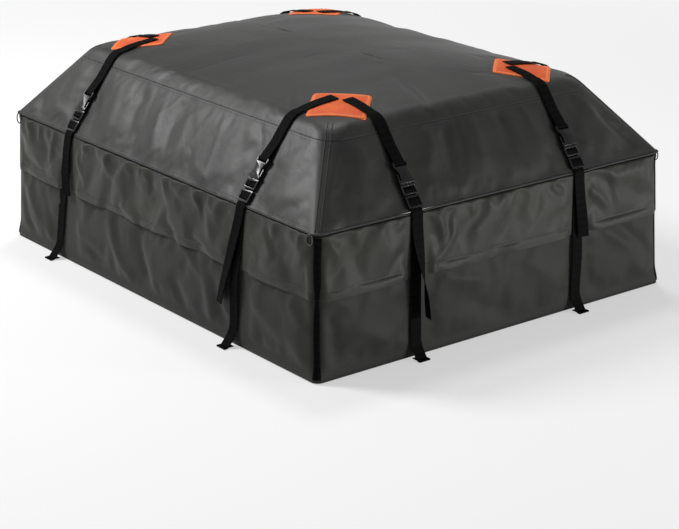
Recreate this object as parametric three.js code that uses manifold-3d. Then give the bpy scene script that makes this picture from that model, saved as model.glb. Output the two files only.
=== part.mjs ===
// Soft roof cargo bag: a filled, hipped fabric bag whose zip runs behind a storm flap, with four corner
// patches on its top and two webbing straps on every face, each closed by a side-release buckle.
// Millimetres, +Z up. The origin is the middle of the flat base. The short front end faces -Y.

import * as THREE from "three";
import { mergeVertices } from "three/addons/utils/BufferGeometryUtils.js";
import Module from "manifold-3d";

const wasm = await Module();
wasm.setup();

// Bag: a tapered tub, a hipped slope from the seam to a soft ridge, and a crowned top.
const WIDTH = 864;
const LENGTH = 1060;
const SEAM_HEIGHT = 274;
const RIDGE_HEIGHT = 424;
const CROWN_HEIGHT = 30;
const WALL_TAPER = 11;
const SLOPE_RUN = 113;
const RIDGE_RADIUS = 40;
const BASE_EDGE_RADIUS = 8;
const WALL_CORNER_RADIUS = 24;
const RIDGE_CORNER_RADIUS = 62;
const CROWN_CORNER_GROWTH = 0.45;
const CROWN_CORNER_LIMIT = 0.85;
const CROWN_FULLNESS = 0.85;
const TOP_FLAT_INSET = 370;
const WELT_PROUD = 1.5;
const WELT_DROP = 6;

// Storm flap, and the shallow recess behind it that holds the zip.
const FLAP_BOTTOM = 154;
const FLAP_THICKNESS = 1.4;
const FLAP_WAVE = 3.5;
const FLAP_PUCKER = 2.2;
const FLAP_WAVE_STEPS = 7;
const FLAP_PUCKER_SHARES = [0, 1 / 3, 1, 0];
const RECESS_DEPTH = 12;
const RECESS_BOTTOM = 162;
const RECESS_EDGE = 4;

// Folds of the filled fabric, as valleys below the taut surface.
const SLOPE_FOLD_DEPTH = 9;
const SLOPE_FOLD_SPACING = 154;
const TUB_FOLD_DEPTH = 12;
const TUB_FOLD_SPACING = 154;
const TUB_FOLD_LEAN = 0.7;
const TUB_FOLD_START = 55;
const FLAP_FOLD_SPACING = 96;
const STRAP_SMOOTH_NEAR = 26;
const STRAP_SMOOTH_FAR = 62;

// Mesh fineness of the fabric.
const LONG_STEPS = 26;
const SHORT_STEPS = 20;
const CORNER_STEPS = 4;
const RIDGE_STEPS = 4;
const PATCH_STEPS = 9;
const TUB_ROWS = [0.32, 0.64, 0.94];
const SLOPE_ROWS = [0.3, 0.62];
const CROWN_ROWS = [0.14, 0.34, 0.62, 1];
const WALL_STRAP_ROWS = [0.06, 0.25, 0.5, 0.75, 1];
const TAIL_ROWS = [0, 0.3, 0.65, 1];
const TOP_STRAP_ROWS = [0, 0.3, 0.6, 0.85];
const HALVINGS = 30;

// Zip: a tape with a raised chain on three sides, and two sliders on the front end.
const ZIP_HEIGHT = 214;
const TAPE_WIDTH = 32;
const TAPE_THICKNESS = 0.8;
const CHAIN_WIDTH = 6;
const CHAIN_RISE = 2.4;
const SLIDER_LENGTH = 16;
const SLIDER_WIDTH = 12;
const SLIDER_COVER = 2;
const SLIDER_PARTING = 12;
const PULL_LENGTH = 30;
const PULL_WIDTH = 8;
const PULL_THICKNESS = 1.6;

// Webbing and patches. Each strap's place is given along its face, from the middle.
const CLEARANCE = 0.3;
const SEAT_GAP = 0.5;
const WEBBING_WIDTH = 25;
const WEBBING_THICKNESS = 1.4;
const SIDE_STRAP_PLACE = 300;
const END_STRAP_PLACE = 200;
const SIDE_STRAP_OVERRUN = 12;
const END_STRAP_OVERRUN = 22;
const PATCH_SIDE = 110;
const PATCH_THICKNESS = 1;
const PATCH_GAP = 1.1;
const STRAP_ON_PATCH_GAP = 0.8;
const PATCH_OUTSET_X = 25;
const PATCH_OUTSET_Y = 30;
const HEM_LENGTH = 38;
const HEM_FOLD = 26;
const HEM_TURN = 5;
const LEAN_CURVE = 0.7;
const LAYERS_PART = 34;
const RETURN_START = 6;
const RETURN_END = 30;
const FOLD_BEFORE = 1;
const FOLD_AFTER = 1.6;
const LEAN_FAR = 48;
const LEAN_NEAR = 22;
const LEAN_SLIGHT = 8;
const TAIL_LONG = 192;
const TAIL_MIDDLE = 145;
const TAIL_SHORT = 122;

// Hardware, along the slope from the seam upwards and out from the slope.
const GLIDE_START = 4;
const GLIDE_BAR = 3.5;
const GLIDE_SLOT = 5.5;
const GLIDE_MIDDLE = 5;
const GLIDE_BAR_HEIGHT = 2.4;
const FRAME_WIDTH = 33;
const PLUG_GAP = 3;
const PLUG_BAR = 3;
const PLUG_LOWER_SLOT = 5;
const PLUG_UPPER_SLOT = 4;
const PLUG_BASE = 5;
const PRONG_LENGTH = 21;
const PRONG_WIDTH = 3.4;
const PRONG_HEIGHT = 4.4;
const PRONG_SPAN = 30;
const GUIDE_WIDTH = 5;
const SOCKET_LENGTH = 42;
const SOCKET_WIDTH = 35;
const SOCKET_WALL = 2.1;
const SOCKET_BAR = 4;
const SOCKET_SLOT = 5;
const SOCKET_LIP = 5;
const WINDOW_LENGTH = 15;
const WAIST_WIDTH = 22;
const WAIST_RUN = 3;
const WAIST_NARROWING = 1;
const WAIST_WIDENING = 2;
const MOUTH_BEVEL = 2;
const END_NARROWING = 1;
const SHOULDER_NARROWING = 1.5;
const PRONG_CLEARANCE = 1.2;
const CUT_MARGIN = 1;

// Derived heights of the webbing's two layers above the slope.
const HALF_WEB = WEBBING_THICKNESS / 2;
const LAYER_PITCH = WEBBING_THICKNESS + SEAT_GAP;
const INNER_LAYER = SEAT_GAP + HALF_WEB;
const OUTER_LAYER = INNER_LAYER + LAYER_PITCH;
const ABOVE_LAYERS = OUTER_LAYER + HALF_WEB + CLEARANCE;
const SLOT_HALF = WEBBING_WIDTH / 2 + SEAT_GAP;
const FLAP_PROUD = SEAT_GAP + FLAP_THICKNESS;

// Section of the bag, from the base's edge to the top. Inset is measured in from the base's outline.
const SLOPE_ANGLE = Math.atan2(RIDGE_HEIGHT - SEAM_HEIGHT, SLOPE_RUN);
const SLOPE_LENGTH = Math.hypot(RIDGE_HEIGHT - SEAM_HEIGHT, SLOPE_RUN);
const RIDGE_INSET = WALL_TAPER + SLOPE_RUN;
const ARC_REACH = RIDGE_RADIUS * Math.tan(SLOPE_ANGLE / 2);
const wallInset = (z) => (WALL_TAPER * z) / SEAM_HEIGHT;
const slopeHeight = (inset) => SEAM_HEIGHT + (inset - WALL_TAPER) * Math.tan(SLOPE_ANGLE);
const crownShape = (inset) => {
  const share = (inset - RIDGE_INSET - ARC_REACH) / (WIDTH / 2 - RIDGE_INSET - ARC_REACH);
  return CROWN_HEIGHT * Math.sin((Math.PI / 2) * THREE.MathUtils.clamp(share, 0, 1) ** CROWN_FULLNESS);
};

function ridgeArc() {
  const points = [];
  for (let i = 0; i <= RIDGE_STEPS; i++) {
    const turn = SLOPE_ANGLE * (1 - i / RIDGE_STEPS);
    const inset = RIDGE_INSET + ARC_REACH - RIDGE_RADIUS * Math.sin(turn);
    points.push({ inset, z: RIDGE_HEIGHT - RIDGE_RADIUS * (1 - Math.cos(turn)) });
  }
  return points;
}

function bagLevels() {
  const edge = BASE_EDGE_RADIUS;
  const roundPoint = edge * (1 - Math.SQRT1_2);
  const recessTop = SEAM_HEIGHT - WELT_DROP - RECESS_EDGE;
  const weltInset = WALL_TAPER - WELT_PROUD;
  const inWall = (z, depth = 0) => ({ inset: wallInset(z) + depth, z });
  const levels = [{ inset: edge, z: 0 }, { inset: roundPoint, z: roundPoint }, inWall(edge)];
  const tubTop = RECESS_BOTTOM - RECESS_EDGE;
  for (const share of TUB_ROWS) levels.push(inWall(edge + (tubTop - edge) * share));
  levels.push(inWall(tubTop), inWall(RECESS_BOTTOM, RECESS_DEPTH));
  levels.push(inWall((RECESS_BOTTOM + recessTop) / 2, RECESS_DEPTH), inWall(recessTop, RECESS_DEPTH));
  levels.push({ inset: weltInset, z: SEAM_HEIGHT - WELT_DROP });
  levels.push({ inset: weltInset, z: slopeHeight(weltInset) });
  for (const share of SLOPE_ROWS) {
    const inset = WALL_TAPER + SLOPE_RUN * share;
    levels.push({ inset, z: slopeHeight(inset) });
  }
  levels.push(...ridgeArc());
  const crownStart = RIDGE_INSET + ARC_REACH;
  for (const share of CROWN_ROWS) {
    const inset = crownStart + (TOP_FLAT_INSET - crownStart) * share;
    levels.push({ inset, z: RIDGE_HEIGHT + crownShape(inset) });
  }
  return levels;
}

// Height of the roof at an inset, on the same arc and crown as the levels.
function roofHeight(inset) {
  if (inset <= RIDGE_INSET - ARC_REACH * Math.cos(SLOPE_ANGLE)) return slopeHeight(inset);
  const past = RIDGE_INSET + ARC_REACH - inset;
  if (past <= 0) return RIDGE_HEIGHT + crownShape(inset);
  return RIDGE_HEIGHT - RIDGE_RADIUS + Math.sqrt(RIDGE_RADIUS ** 2 - past ** 2);
}

function cornerRadius(inset) {
  if (inset > RIDGE_INSET) {
    const grown = RIDGE_CORNER_RADIUS + (inset - RIDGE_INSET) * CROWN_CORNER_GROWTH;
    return Math.min(grown, (WIDTH / 2 - inset) * CROWN_CORNER_LIMIT);
  }
  const share = THREE.MathUtils.clamp((inset - WALL_TAPER) / SLOPE_RUN, 0, 1);
  return THREE.MathUtils.lerp(WALL_CORNER_RADIUS, RIDGE_CORNER_RADIUS, share);
}

// How far in from the base's outline a plan point lies, found by halving, for the rounded outlines above.
function insetAt(x, y) {
  let low = 0;
  let high = WIDTH / 2;
  for (let i = 0; i < HALVINGS; i++) {
    const inset = (low + high) / 2;
    const radius = cornerRadius(inset);
    const dx = Math.abs(x) - (WIDTH / 2 - inset - radius);
    const dy = Math.abs(y) - (LENGTH / 2 - inset - radius);
    const beyond = Math.hypot(Math.max(dx, 0), Math.max(dy, 0)) + Math.min(Math.max(dx, dy), 0) - radius;
    if (beyond > 0) high = inset;
    else low = inset;
  }
  return low;
}
const roofAt = (x, y) => roofHeight(insetAt(x, y));

// The four faces in the order that an outline is walked, seen from above: counter-clockwise from the left.
const FACES = [
  { name: "left", angle: -Math.PI / 2, reach: WIDTH / 2, half: LENGTH / 2, steps: LONG_STEPS },
  { name: "front", angle: 0, reach: LENGTH / 2, half: WIDTH / 2, steps: SHORT_STEPS },
  { name: "right", angle: Math.PI / 2, reach: WIDTH / 2, half: LENGTH / 2, steps: LONG_STEPS },
  { name: "rear", angle: Math.PI, reach: LENGTH / 2, half: WIDTH / 2, steps: SHORT_STEPS },
];
const isSide = (face) => face.reach === WIDTH / 2;
const strapPlace = (face) => (isSide(face) ? SIDE_STRAP_PLACE : END_STRAP_PLACE);

// Points of the rounded outline at an inset, each with its face, its place along it and its normal.
function outline(inset) {
  const radius = cornerRadius(inset);
  const points = [];
  for (const face of FACES) {
    const straight = face.half - inset - radius;
    const across = face.reach - inset;
    const add = (along, out, lean) => {
      const normal = new THREE.Vector2(Math.sin(lean), -Math.cos(lean));
      const place = new THREE.Vector2(along, -out);
      const origin = new THREE.Vector2();
      normal.rotateAround(origin, face.angle);
      place.rotateAround(origin, face.angle);
      points.push({ face, along, place, normal });
    };
    for (let i = 0; i <= face.steps; i++) add(straight * ((2 * i) / face.steps - 1), across, 0);
    for (let i = 1; i < CORNER_STEPS; i++) {
      const lean = ((Math.PI / 2) * i) / CORNER_STEPS;
      add(straight + radius * Math.sin(lean), across - radius + radius * Math.cos(lean), lean);
    }
  }
  return points;
}

// Folds: 1 clear of the straps and 0 under them, and smooth valleys between.
const wave = (phase) => 0.5 - 0.5 * Math.cos(2 * Math.PI * phase);
function clearOfStraps(face, along) {
  const off = Math.abs(Math.abs(along) - strapPlace(face));
  return THREE.MathUtils.smoothstep(off, STRAP_SMOOTH_NEAR, STRAP_SMOOTH_FAR);
}
function foldDepth({ face, along }, z) {
  const clear = clearOfStraps(face, along);
  const risen = THREE.MathUtils.smoothstep(z, BASE_EDGE_RADIUS, TUB_FOLD_START);
  const tubTop = RECESS_BOTTOM - RECESS_EDGE;
  if (z < tubTop) {
    return TUB_FOLD_DEPTH * clear * risen * wave((along - z * TUB_FOLD_LEAN) / TUB_FOLD_SPACING);
  }
  if (z < SEAM_HEIGHT || z > RIDGE_HEIGHT) return 0;
  const fade = 1 - (z - SEAM_HEIGHT) / (RIDGE_HEIGHT - SEAM_HEIGHT);
  return SLOPE_FOLD_DEPTH * clear * fade * wave(along / SLOPE_FOLD_SPACING);
}

// A closed skin through a row of equal outlines. Its ends are capped with the given triangles of an
// outline's points, or joined to each other in a ring.
function skin(rows, cap) {
  const count = rows[0].length;
  const joined = cap === null;
  const faces = [];
  for (let row = 0; row < rows.length - (joined ? 0 : 1); row++) {
    const next = ((row + 1) % rows.length) * count;
    for (let i = 0; i < count; i++) {
      const j = (i + 1) % count;
      faces.push(row * count + i, row * count + j, next + j, row * count + i, next + j, next + i);
    }
  }
  if (!joined) {
    const last = (rows.length - 1) * count;
    for (const [a, b, c] of cap) faces.push(c, b, a, last + a, last + b, last + c);
  }
  return new THREE.BufferGeometry().setFromPoints(rows.flat()).setIndex(faces);
}
const flatCap = (points) => THREE.ShapeUtils.triangulateShape(points, []);

function bagGeometry() {
  const rows = bagLevels().map(({ inset, z }) =>
    outline(inset).map((point) => {
      const sunk = point.normal.clone().multiplyScalar(-foldDepth(point, z));
      return new THREE.Vector3(point.place.x + sunk.x, point.place.y + sunk.y, z);
    }),
  );
  return skin(rows, flatCap(rows[0].map((p) => new THREE.Vector2(p.x, p.y))));
}

// The flap hangs from the welt as one ring. Its waves go inwards only, into the recess.
function flapGeometry() {
  const top = SEAM_HEIGHT - WELT_DROP - SEAT_GAP;
  const heights = [FLAP_BOTTOM, RECESS_BOTTOM + RECESS_EDGE, (RECESS_BOTTOM + top) / 2, top];
  const fronts = heights.map((z) => outline(wallInset(z) - FLAP_PROUD));
  const backs = heights.map((z) => outline(wallInset(z) - SEAT_GAP));
  const rows = fronts[0].map(({ face, along }, index) => {
    const pucker = FLAP_PUCKER * clearOfStraps(face, along) * wave(along / FLAP_FOLD_SPACING);
    const drop = FLAP_WAVE * wave(index / FLAP_WAVE_STEPS);
    const at = (outlines, k) => {
      const { place, normal } = outlines[k][index];
      const depth = FLAP_PUCKER_SHARES[k] * pucker;
      const z = heights[k] - (k === 0 ? drop : 0);
      return new THREE.Vector3(place.x - normal.x * depth, place.y - normal.y * depth, z);
    };
    const front = heights.map((_, k) => at(fronts, k));
    const back = heights.map((_, k) => at(backs, k));
    return [...back, ...front.reverse()];
  });
  return skin(rows, null);
}

// A patch is a square turned by an eighth, laid over the roof.
function patchGeometry(cx, cy) {
  const half = PATCH_SIDE / 2;
  const rows = [];
  const at = (i, j, rise) => {
    const u = (2 * i) / PATCH_STEPS - 1;
    const v = (2 * j) / PATCH_STEPS - 1;
    const x = cx + half * (u - v) * Math.SQRT1_2;
    const y = cy + half * (u + v) * Math.SQRT1_2;
    return new THREE.Vector3(x, y, roofAt(x, y) + rise);
  };
  const low = PATCH_GAP;
  const high = PATCH_GAP + PATCH_THICKNESS;
  for (let i = 0; i <= PATCH_STEPS; i++) {
    const row = [];
    for (let j = 0; j <= PATCH_STEPS; j++) row.push(at(i, j, low));
    for (let j = PATCH_STEPS; j >= 0; j--) row.push(at(i, j, high));
    rows.push(row);
  }
  const last = 2 * PATCH_STEPS + 1;
  const cap = [];
  for (let j = 0; j < PATCH_STEPS; j++) {
    cap.push([j, j + 1, last - j], [j + 1, last - j - 1, last - j]);
  }
  return skin(rows, cap);
}

// A ribbon along a path in a face's own frame: x along the face, y inwards, z up.
function ribbon(path, lift = () => 0) {
  const rows = path.map((point, i) => {
    const before = path[Math.max(i - 1, 0)];
    const after = path[Math.min(i + 1, path.length - 1)];
    const side = (a, b) => new THREE.Vector2(b.z - a.z, a.y - b.y).normalize();
    const first = i === 0 ? side(point, after) : side(before, point);
    const second = i === path.length - 1 ? first : side(point, after);
    const mitre = first.clone().add(second).normalize();
    mitre.multiplyScalar(HALF_WEB / mitre.dot(first));
    const corner = (w, h) => {
      const x = (point.x ?? 0) + w;
      const y = point.y + mitre.x * h;
      const z = point.z + mitre.y * h + lift(w, point.y);
      return new THREE.Vector3(x, y, z);
    };
    const half = WEBBING_WIDTH / 2;
    return [corner(-half, -1), corner(half, -1), corner(half, 1), corner(-half, 1)];
  });
  return skin(rows, [[0, 1, 2], [0, 2, 3]]);
}

// Solid helpers: closed geometry to a solid and back, and plain boxes by their limits.
function solid(geometry) {
  const bare = geometry.clone();
  bare.deleteAttribute("normal");
  bare.deleteAttribute("uv");
  const merged = mergeVertices(bare);
  const mesh = new wasm.Mesh({
    numProp: 3,
    vertProperties: new Float32Array(merged.attributes.position.array),
    triVerts: new Uint32Array(merged.index.array),
  });
  return new wasm.Manifold(mesh);
}
function geometryOf(body) {
  const mesh = body.getMesh();
  const geometry = new THREE.BufferGeometry();
  geometry.setAttribute("position", new THREE.BufferAttribute(mesh.vertProperties, 3));
  return geometry.setIndex(new THREE.BufferAttribute(mesh.triVerts, 1));
}
function block([x0, x1], [y0, y1], [z0, z1]) {
  const box = new THREE.BoxGeometry(x1 - x0, y1 - y0, z1 - z0);
  return solid(box.translate((x0 + x1) / 2, (y0 + y1) / 2, (z0 + z1) / 2));
}
const joinAll = (bodies) => bodies.reduce((sum, body) => sum.add(body));
const span = (start, length) => [start, start + length];
const centred = (width) => [-width / 2, width / 2];

// Places of the hardware along the slope, from the seam up.
const GLIDE_END = GLIDE_START + 2 * GLIDE_BAR + 2 * GLIDE_SLOT + GLIDE_MIDDLE;
const PLUG_START = GLIDE_END + PLUG_GAP;
const MID_BAR_START = PLUG_START + PLUG_BAR + PLUG_LOWER_SLOT;
const BASE_START = MID_BAR_START + PLUG_BAR + PLUG_UPPER_SLOT;
const MOUTH = BASE_START + PLUG_BASE + CLEARANCE;
const SOCKET_END = MOUTH + SOCKET_LENGTH;

// Heights of the hardware out from the slope.
const MIDDLE_BAR_TOP = SEAT_GAP + CLEARANCE + GLIDE_BAR_HEIGHT - HALF_WEB;
const BAR_THICKNESS = 2.5;
const PRONG_FLOOR = INNER_LAYER + HALF_WEB + PRONG_CLEARANCE;
const SOCKET_MIDDLE = PRONG_FLOOR + PRONG_HEIGHT / 2;
const SOCKET_HEIGHT = PRONG_HEIGHT + 2 * CLEARANCE + 2 * SOCKET_WALL;
const SOCKET_FLOOR = SOCKET_MIDDLE - SOCKET_HEIGHT / 2;
const MID_BAR_FLOOR = INNER_LAYER + HALF_WEB + CLEARANCE;

// Slider that carries the strap's slack: two high end bars, a low middle bar and two side rails.
function glideGeometry() {
  const rail = (FRAME_WIDTH - 2 * SLOT_HALF) / 2;
  const length = GLIDE_END - GLIDE_START;
  const low = SEAT_GAP + CLEARANCE / 2;
  const high = ABOVE_LAYERS + BAR_THICKNESS;
  const middle = GLIDE_START + GLIDE_BAR + GLIDE_SLOT;
  const bodies = [-1, 1].map((side) => {
    const inner = side < 0 ? -SLOT_HALF - rail : SLOT_HALF;
    return block(span(inner, rail), span(GLIDE_START, length), [low, high]);
  });
  for (const start of [GLIDE_START, GLIDE_END - GLIDE_BAR]) {
    bodies.push(block(centred(FRAME_WIDTH), span(start, GLIDE_BAR), [ABOVE_LAYERS, high]));
  }
  bodies.push(block(centred(FRAME_WIDTH), span(middle, GLIDE_MIDDLE), [low, MIDDLE_BAR_TOP]));
  return geometryOf(joinAll(bodies));
}

// Plug: a ladder frame with two bars, a base, two side prongs and a middle guide.
function plugGeometry() {
  const rail = (FRAME_WIDTH - 2 * SLOT_HALF) / 2;
  const top = ABOVE_LAYERS + BAR_THICKNESS;
  const prongs = [PRONG_FLOOR, PRONG_FLOOR + PRONG_HEIGHT];
  const bodies = [-1, 1].map((side) => {
    const inner = side < 0 ? -SLOT_HALF - rail : SLOT_HALF;
    return block(span(inner, rail), [PLUG_START, BASE_START + CUT_MARGIN], [MID_BAR_FLOOR, top]);
  });
  const midBar = [MID_BAR_FLOOR, MID_BAR_FLOOR + BAR_THICKNESS];
  bodies.push(block(centred(FRAME_WIDTH), span(PLUG_START, PLUG_BAR), [ABOVE_LAYERS, top]));
  bodies.push(block(centred(FRAME_WIDTH), span(MID_BAR_START, PLUG_BAR), midBar));
  bodies.push(block(centred(FRAME_WIDTH), span(BASE_START, PLUG_BASE), [MID_BAR_FLOOR, prongs[1]]));
  const tip = [BASE_START + PLUG_BASE - CUT_MARGIN, MOUTH + PRONG_LENGTH];
  bodies.push(block(centred(GUIDE_WIDTH), [tip[0], tip[1] - PRONG_WIDTH], prongs));
  for (const side of [-1, 1]) {
    const inner = side < 0 ? -PRONG_SPAN / 2 : PRONG_SPAN / 2 - PRONG_WIDTH;
    bodies.push(block(span(inner, PRONG_WIDTH), tip, prongs));
  }
  return geometryOf(joinAll(bodies));
}

// Socket: a waisted shell, open at its mouth and sides, with a bar for the upper strap.
function socketGeometry() {
  const half = SOCKET_WIDTH / 2;
  const waist = WAIST_WIDTH / 2;
  const window = SOCKET_LIP + WINDOW_LENGTH;
  const barStart = SOCKET_LENGTH - SOCKET_BAR;
  const slotStart = barStart - SOCKET_SLOT;
  const side = [
    [half - END_NARROWING, 0],
    [half, MOUTH_BEVEL],
    [half, SOCKET_LIP],
    [waist, SOCKET_LIP + WAIST_RUN],
    [waist - WAIST_NARROWING, window],
    [waist + WAIST_WIDENING, slotStart - WAIST_RUN],
    [half - SHOULDER_NARROWING, slotStart],
    [half - END_NARROWING, SOCKET_LENGTH],
  ];
  const mirrored = side.map(([x, y]) => [-x, y]).reverse();
  const shape = new THREE.Shape([...side, ...mirrored].map(([x, y]) => new THREE.Vector2(x, y)));
  const shell = new THREE.ExtrudeGeometry(shape, { depth: SOCKET_HEIGHT, bevelEnabled: false });
  shell.translate(0, MOUTH, SOCKET_FLOOR);
  const room = PRONG_HEIGHT / 2 + CLEARANCE;
  const cavityEnd = MOUTH + PRONG_LENGTH + PRONG_CLEARANCE;
  const cavity = block(
    centred(PRONG_SPAN + 2 * CLEARANCE),
    [MOUTH - CUT_MARGIN, cavityEnd],
    [SOCKET_MIDDLE - room, SOCKET_MIDDLE + room],
  );
  const through = [SOCKET_FLOOR - CUT_MARGIN, SOCKET_FLOOR + SOCKET_HEIGHT + CUT_MARGIN];
  const slot = block(centred(2 * SLOT_HALF), span(MOUTH + slotStart, SOCKET_SLOT), through);
  const barSpan = [MOUTH + barStart - CUT_MARGIN, SOCKET_END + CUT_MARGIN];
  const above = block(centred(2 * SLOT_HALF), barSpan, [SOCKET_MIDDLE + SOCKET_BAR / 2, through[1]]);
  const below = block(centred(2 * SLOT_HALF), barSpan, [through[0], SOCKET_MIDDLE - SOCKET_BAR / 2]);
  return geometryOf([cavity, slot, above, below].reduce((rest, cut) => rest.subtract(cut), solid(shell)));
}

// A point of a face's own frame from its place up the slope and out from it.
function onSlope(face, up, out) {
  const run = Math.cos(SLOPE_ANGLE) * up - Math.sin(SLOPE_ANGLE) * out;
  const rise = Math.sin(SLOPE_ANGLE) * up + Math.cos(SLOPE_ANGLE) * out;
  return { y: -(face.reach - WALL_TAPER - run), z: SEAM_HEIGHT + rise };
}
const onWall = (face, z, out) => ({ y: -(face.reach - wallInset(z) + out), z });

// Where a layer this far out from the slope turns down to hang this far out from the wall.
function seamTurn(face, out, stand) {
  const inset = wallInset(SEAM_HEIGHT - WELT_DROP) - stand;
  const up = (inset - WALL_TAPER + Math.sin(SLOPE_ANGLE) * out) / Math.cos(SLOPE_ANGLE);
  return onSlope(face, up, out);
}

// Upper strap: from the patch over the ridge to the socket's bar, round it and back under itself.
function upperStrap(face, along) {
  const tip = isSide(face) ? END_STRAP_PLACE + SIDE_STRAP_OVERRUN : SIDE_STRAP_PLACE + END_STRAP_OVERRUN;
  const onPatch = PATCH_GAP + PATCH_THICKNESS + STRAP_ON_PATCH_GAP + HALF_WEB;
  const world = (x, run) => (isSide(face) ? roofAt(run, x) : roofAt(x, run));
  const path = [];
  const topEnd = face.reach - RIDGE_INSET - ARC_REACH;
  for (const share of TOP_STRAP_ROWS) {
    const run = THREE.MathUtils.lerp(tip, topEnd, share);
    path.push({ y: -run, z: world(along, run) + onPatch });
  }
  for (const { inset } of ridgeArc().reverse()) {
    const turn = Math.asin((RIDGE_INSET + ARC_REACH - inset) / RIDGE_RADIUS);
    const radius = RIDGE_RADIUS + onPatch;
    const out = face.reach - RIDGE_INSET - ARC_REACH + radius * Math.sin(turn);
    path.push({ y: -out, z: RIDGE_HEIGHT - RIDGE_RADIUS + radius * Math.cos(turn) });
  }
  const barStart = SOCKET_END - SOCKET_BAR;
  const over = SOCKET_MIDDLE + SOCKET_BAR / 2 + CLEARANCE + HALF_WEB;
  const under = SOCKET_MIDDLE - SOCKET_BAR / 2 - CLEARANCE - HALF_WEB;
  const bend = barStart - 2 * HALF_WEB;
  const seat = SEAT_GAP + HALF_WEB;
  path.push(onSlope(face, SOCKET_END + LAYERS_PART, onPatch), onSlope(face, SOCKET_END, over));
  path.push(onSlope(face, bend, over), onSlope(face, bend, under));
  path.push(onSlope(face, SOCKET_END + FOLD_BEFORE, under));
  path.push(onSlope(face, SOCKET_END + RETURN_START, seat), onSlope(face, SOCKET_END + RETURN_END, seat));
  const lift = (w, y) => {
    const nearTop = -y < topEnd + FOLD_BEFORE;
    return nearTop ? world(along + w, -y) - world(along, -y) : 0;
  };
  return ribbon(path, lift);
}

// Lower strap: from its hem on the floor up the wall, under the slider and round the plug's bar, then
// back down over itself to the free tail. It may lean along the face towards the floor.
function lowerStrap(face, lean, tail) {
  const stand = FLAP_PROUD + SEAT_GAP + HALF_WEB;
  const floor = CLEARANCE + HALF_WEB;
  const drift = (z) => lean * THREE.MathUtils.clamp(1 - z / (SEAM_HEIGHT - WELT_DROP), 0, 1) ** LEAN_CURVE;
  const out = face.reach + stand;
  const hem = out + HEM_LENGTH;
  const path = [
    { y: -(hem - HEM_FOLD), z: floor + LAYER_PITCH },
    { y: -hem, z: floor + LAYER_PITCH },
    { y: -hem, z: floor },
    { y: -(out + HEM_TURN), z: floor },
    { y: -(out + HEM_TURN / 4), z: floor + HEM_TURN },
  ];
  const wallTop = SEAM_HEIGHT - WELT_DROP;
  for (const share of WALL_STRAP_ROWS) path.push(onWall(face, wallTop * share, stand));
  path.push(seamTurn(face, INNER_LAYER, stand));
  const middle = GLIDE_START + GLIDE_BAR + GLIDE_SLOT;
  const hump = MIDDLE_BAR_TOP + CLEARANCE + HALF_WEB - INNER_LAYER;
  const ramp = [GLIDE_START + GLIDE_BAR, middle, middle + GLIDE_MIDDLE, GLIDE_END - GLIDE_BAR];
  const climbs = [0, hump, hump, 0];
  ramp.forEach((up, i) => path.push(onSlope(face, up, INNER_LAYER + climbs[i])));
  const rise = MID_BAR_START + PLUG_BAR + PLUG_UPPER_SLOT / 2;
  const over = MID_BAR_FLOOR + BAR_THICKNESS + CLEARANCE + HALF_WEB;
  path.push(onSlope(face, rise, INNER_LAYER), onSlope(face, rise, over));
  path.push(onSlope(face, MID_BAR_START - FOLD_BEFORE, over));
  path.push(onSlope(face, PLUG_START + PLUG_BAR + FOLD_AFTER, OUTER_LAYER));
  ramp.forEach((_, i) => path.push(onSlope(face, ramp[3 - i], OUTER_LAYER + climbs[3 - i])));
  path.push(seamTurn(face, OUTER_LAYER, stand + LAYER_PITCH));
  for (const share of TAIL_ROWS) {
    path.push(onWall(face, wallTop - tail * share, stand + LAYER_PITCH));
  }
  return ribbon(path.map((point) => ({ ...point, x: drift(point.z) })));
}

// Zip on the left, front and right faces, seated on the recess's floor.
function zipGeometry() {
  const half = TAPE_WIDTH / 2;
  const chain = CHAIN_WIDTH / 2;
  const top = TAPE_THICKNESS + CHAIN_RISE;
  const section = [
    [-half, 0],
    [half, 0],
    [half, TAPE_THICKNESS],
    [chain, TAPE_THICKNESS],
    [chain, top],
    [-chain, top],
    [-chain, TAPE_THICKNESS],
    [-half, TAPE_THICKNESS],
  ].map(([w, h]) => new THREE.Vector2(w, h));
  const floor = outline(wallInset(ZIP_HEIGHT) + RECESS_DEPTH);
  const turns = floor.filter(({ face }, i) => {
    const ahead = floor[(i + 1) % floor.length];
    const behind = floor.at(i - 1);
    const inStraight = behind.normal.equals(ahead.normal) && behind.face === ahead.face;
    return face.name !== "rear" && !inStraight;
  });
  const tilt = WALL_TAPER / SEAM_HEIGHT;
  const rows = turns.slice(0, 1 - CORNER_STEPS).map(({ place, normal }) =>
    section.map(({ x: w, y: h }) => {
      const out = SEAT_GAP + h - w * tilt;
      return new THREE.Vector3(place.x + normal.x * out, place.y + normal.y * out, ZIP_HEIGHT + w);
    }),
  );
  return skin(rows, flatCap(section));
}

// Slider in the front face's frame: a channel over the chain, with its pull hanging down.
function sliderGeometry() {
  const floor = -(LENGTH / 2 - wallInset(ZIP_HEIGHT) - RECESS_DEPTH + SEAT_GAP);
  const back = floor - TAPE_THICKNESS - 2 * CLEARANCE;
  const front = floor - TAPE_THICKNESS - CHAIN_RISE - CLEARANCE - SLIDER_COVER;
  const body = block(
    centred(SLIDER_LENGTH),
    [front, back],
    [ZIP_HEIGHT - SLIDER_WIDTH / 2, ZIP_HEIGHT + SLIDER_WIDTH / 2],
  );
  const chain = CHAIN_WIDTH / 2 + CLEARANCE;
  const channel = block(
    centred(SLIDER_LENGTH + 2 * CUT_MARGIN),
    [front + SLIDER_COVER, back + CUT_MARGIN],
    [ZIP_HEIGHT - chain, ZIP_HEIGHT + chain],
  );
  const pull = block(
    centred(PULL_WIDTH),
    [front - PULL_THICKNESS, front + CLEARANCE],
    [ZIP_HEIGHT - PULL_LENGTH, ZIP_HEIGHT + SLIDER_WIDTH / 4],
  );
  return geometryOf(body.subtract(channel).add(pull));
}

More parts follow.
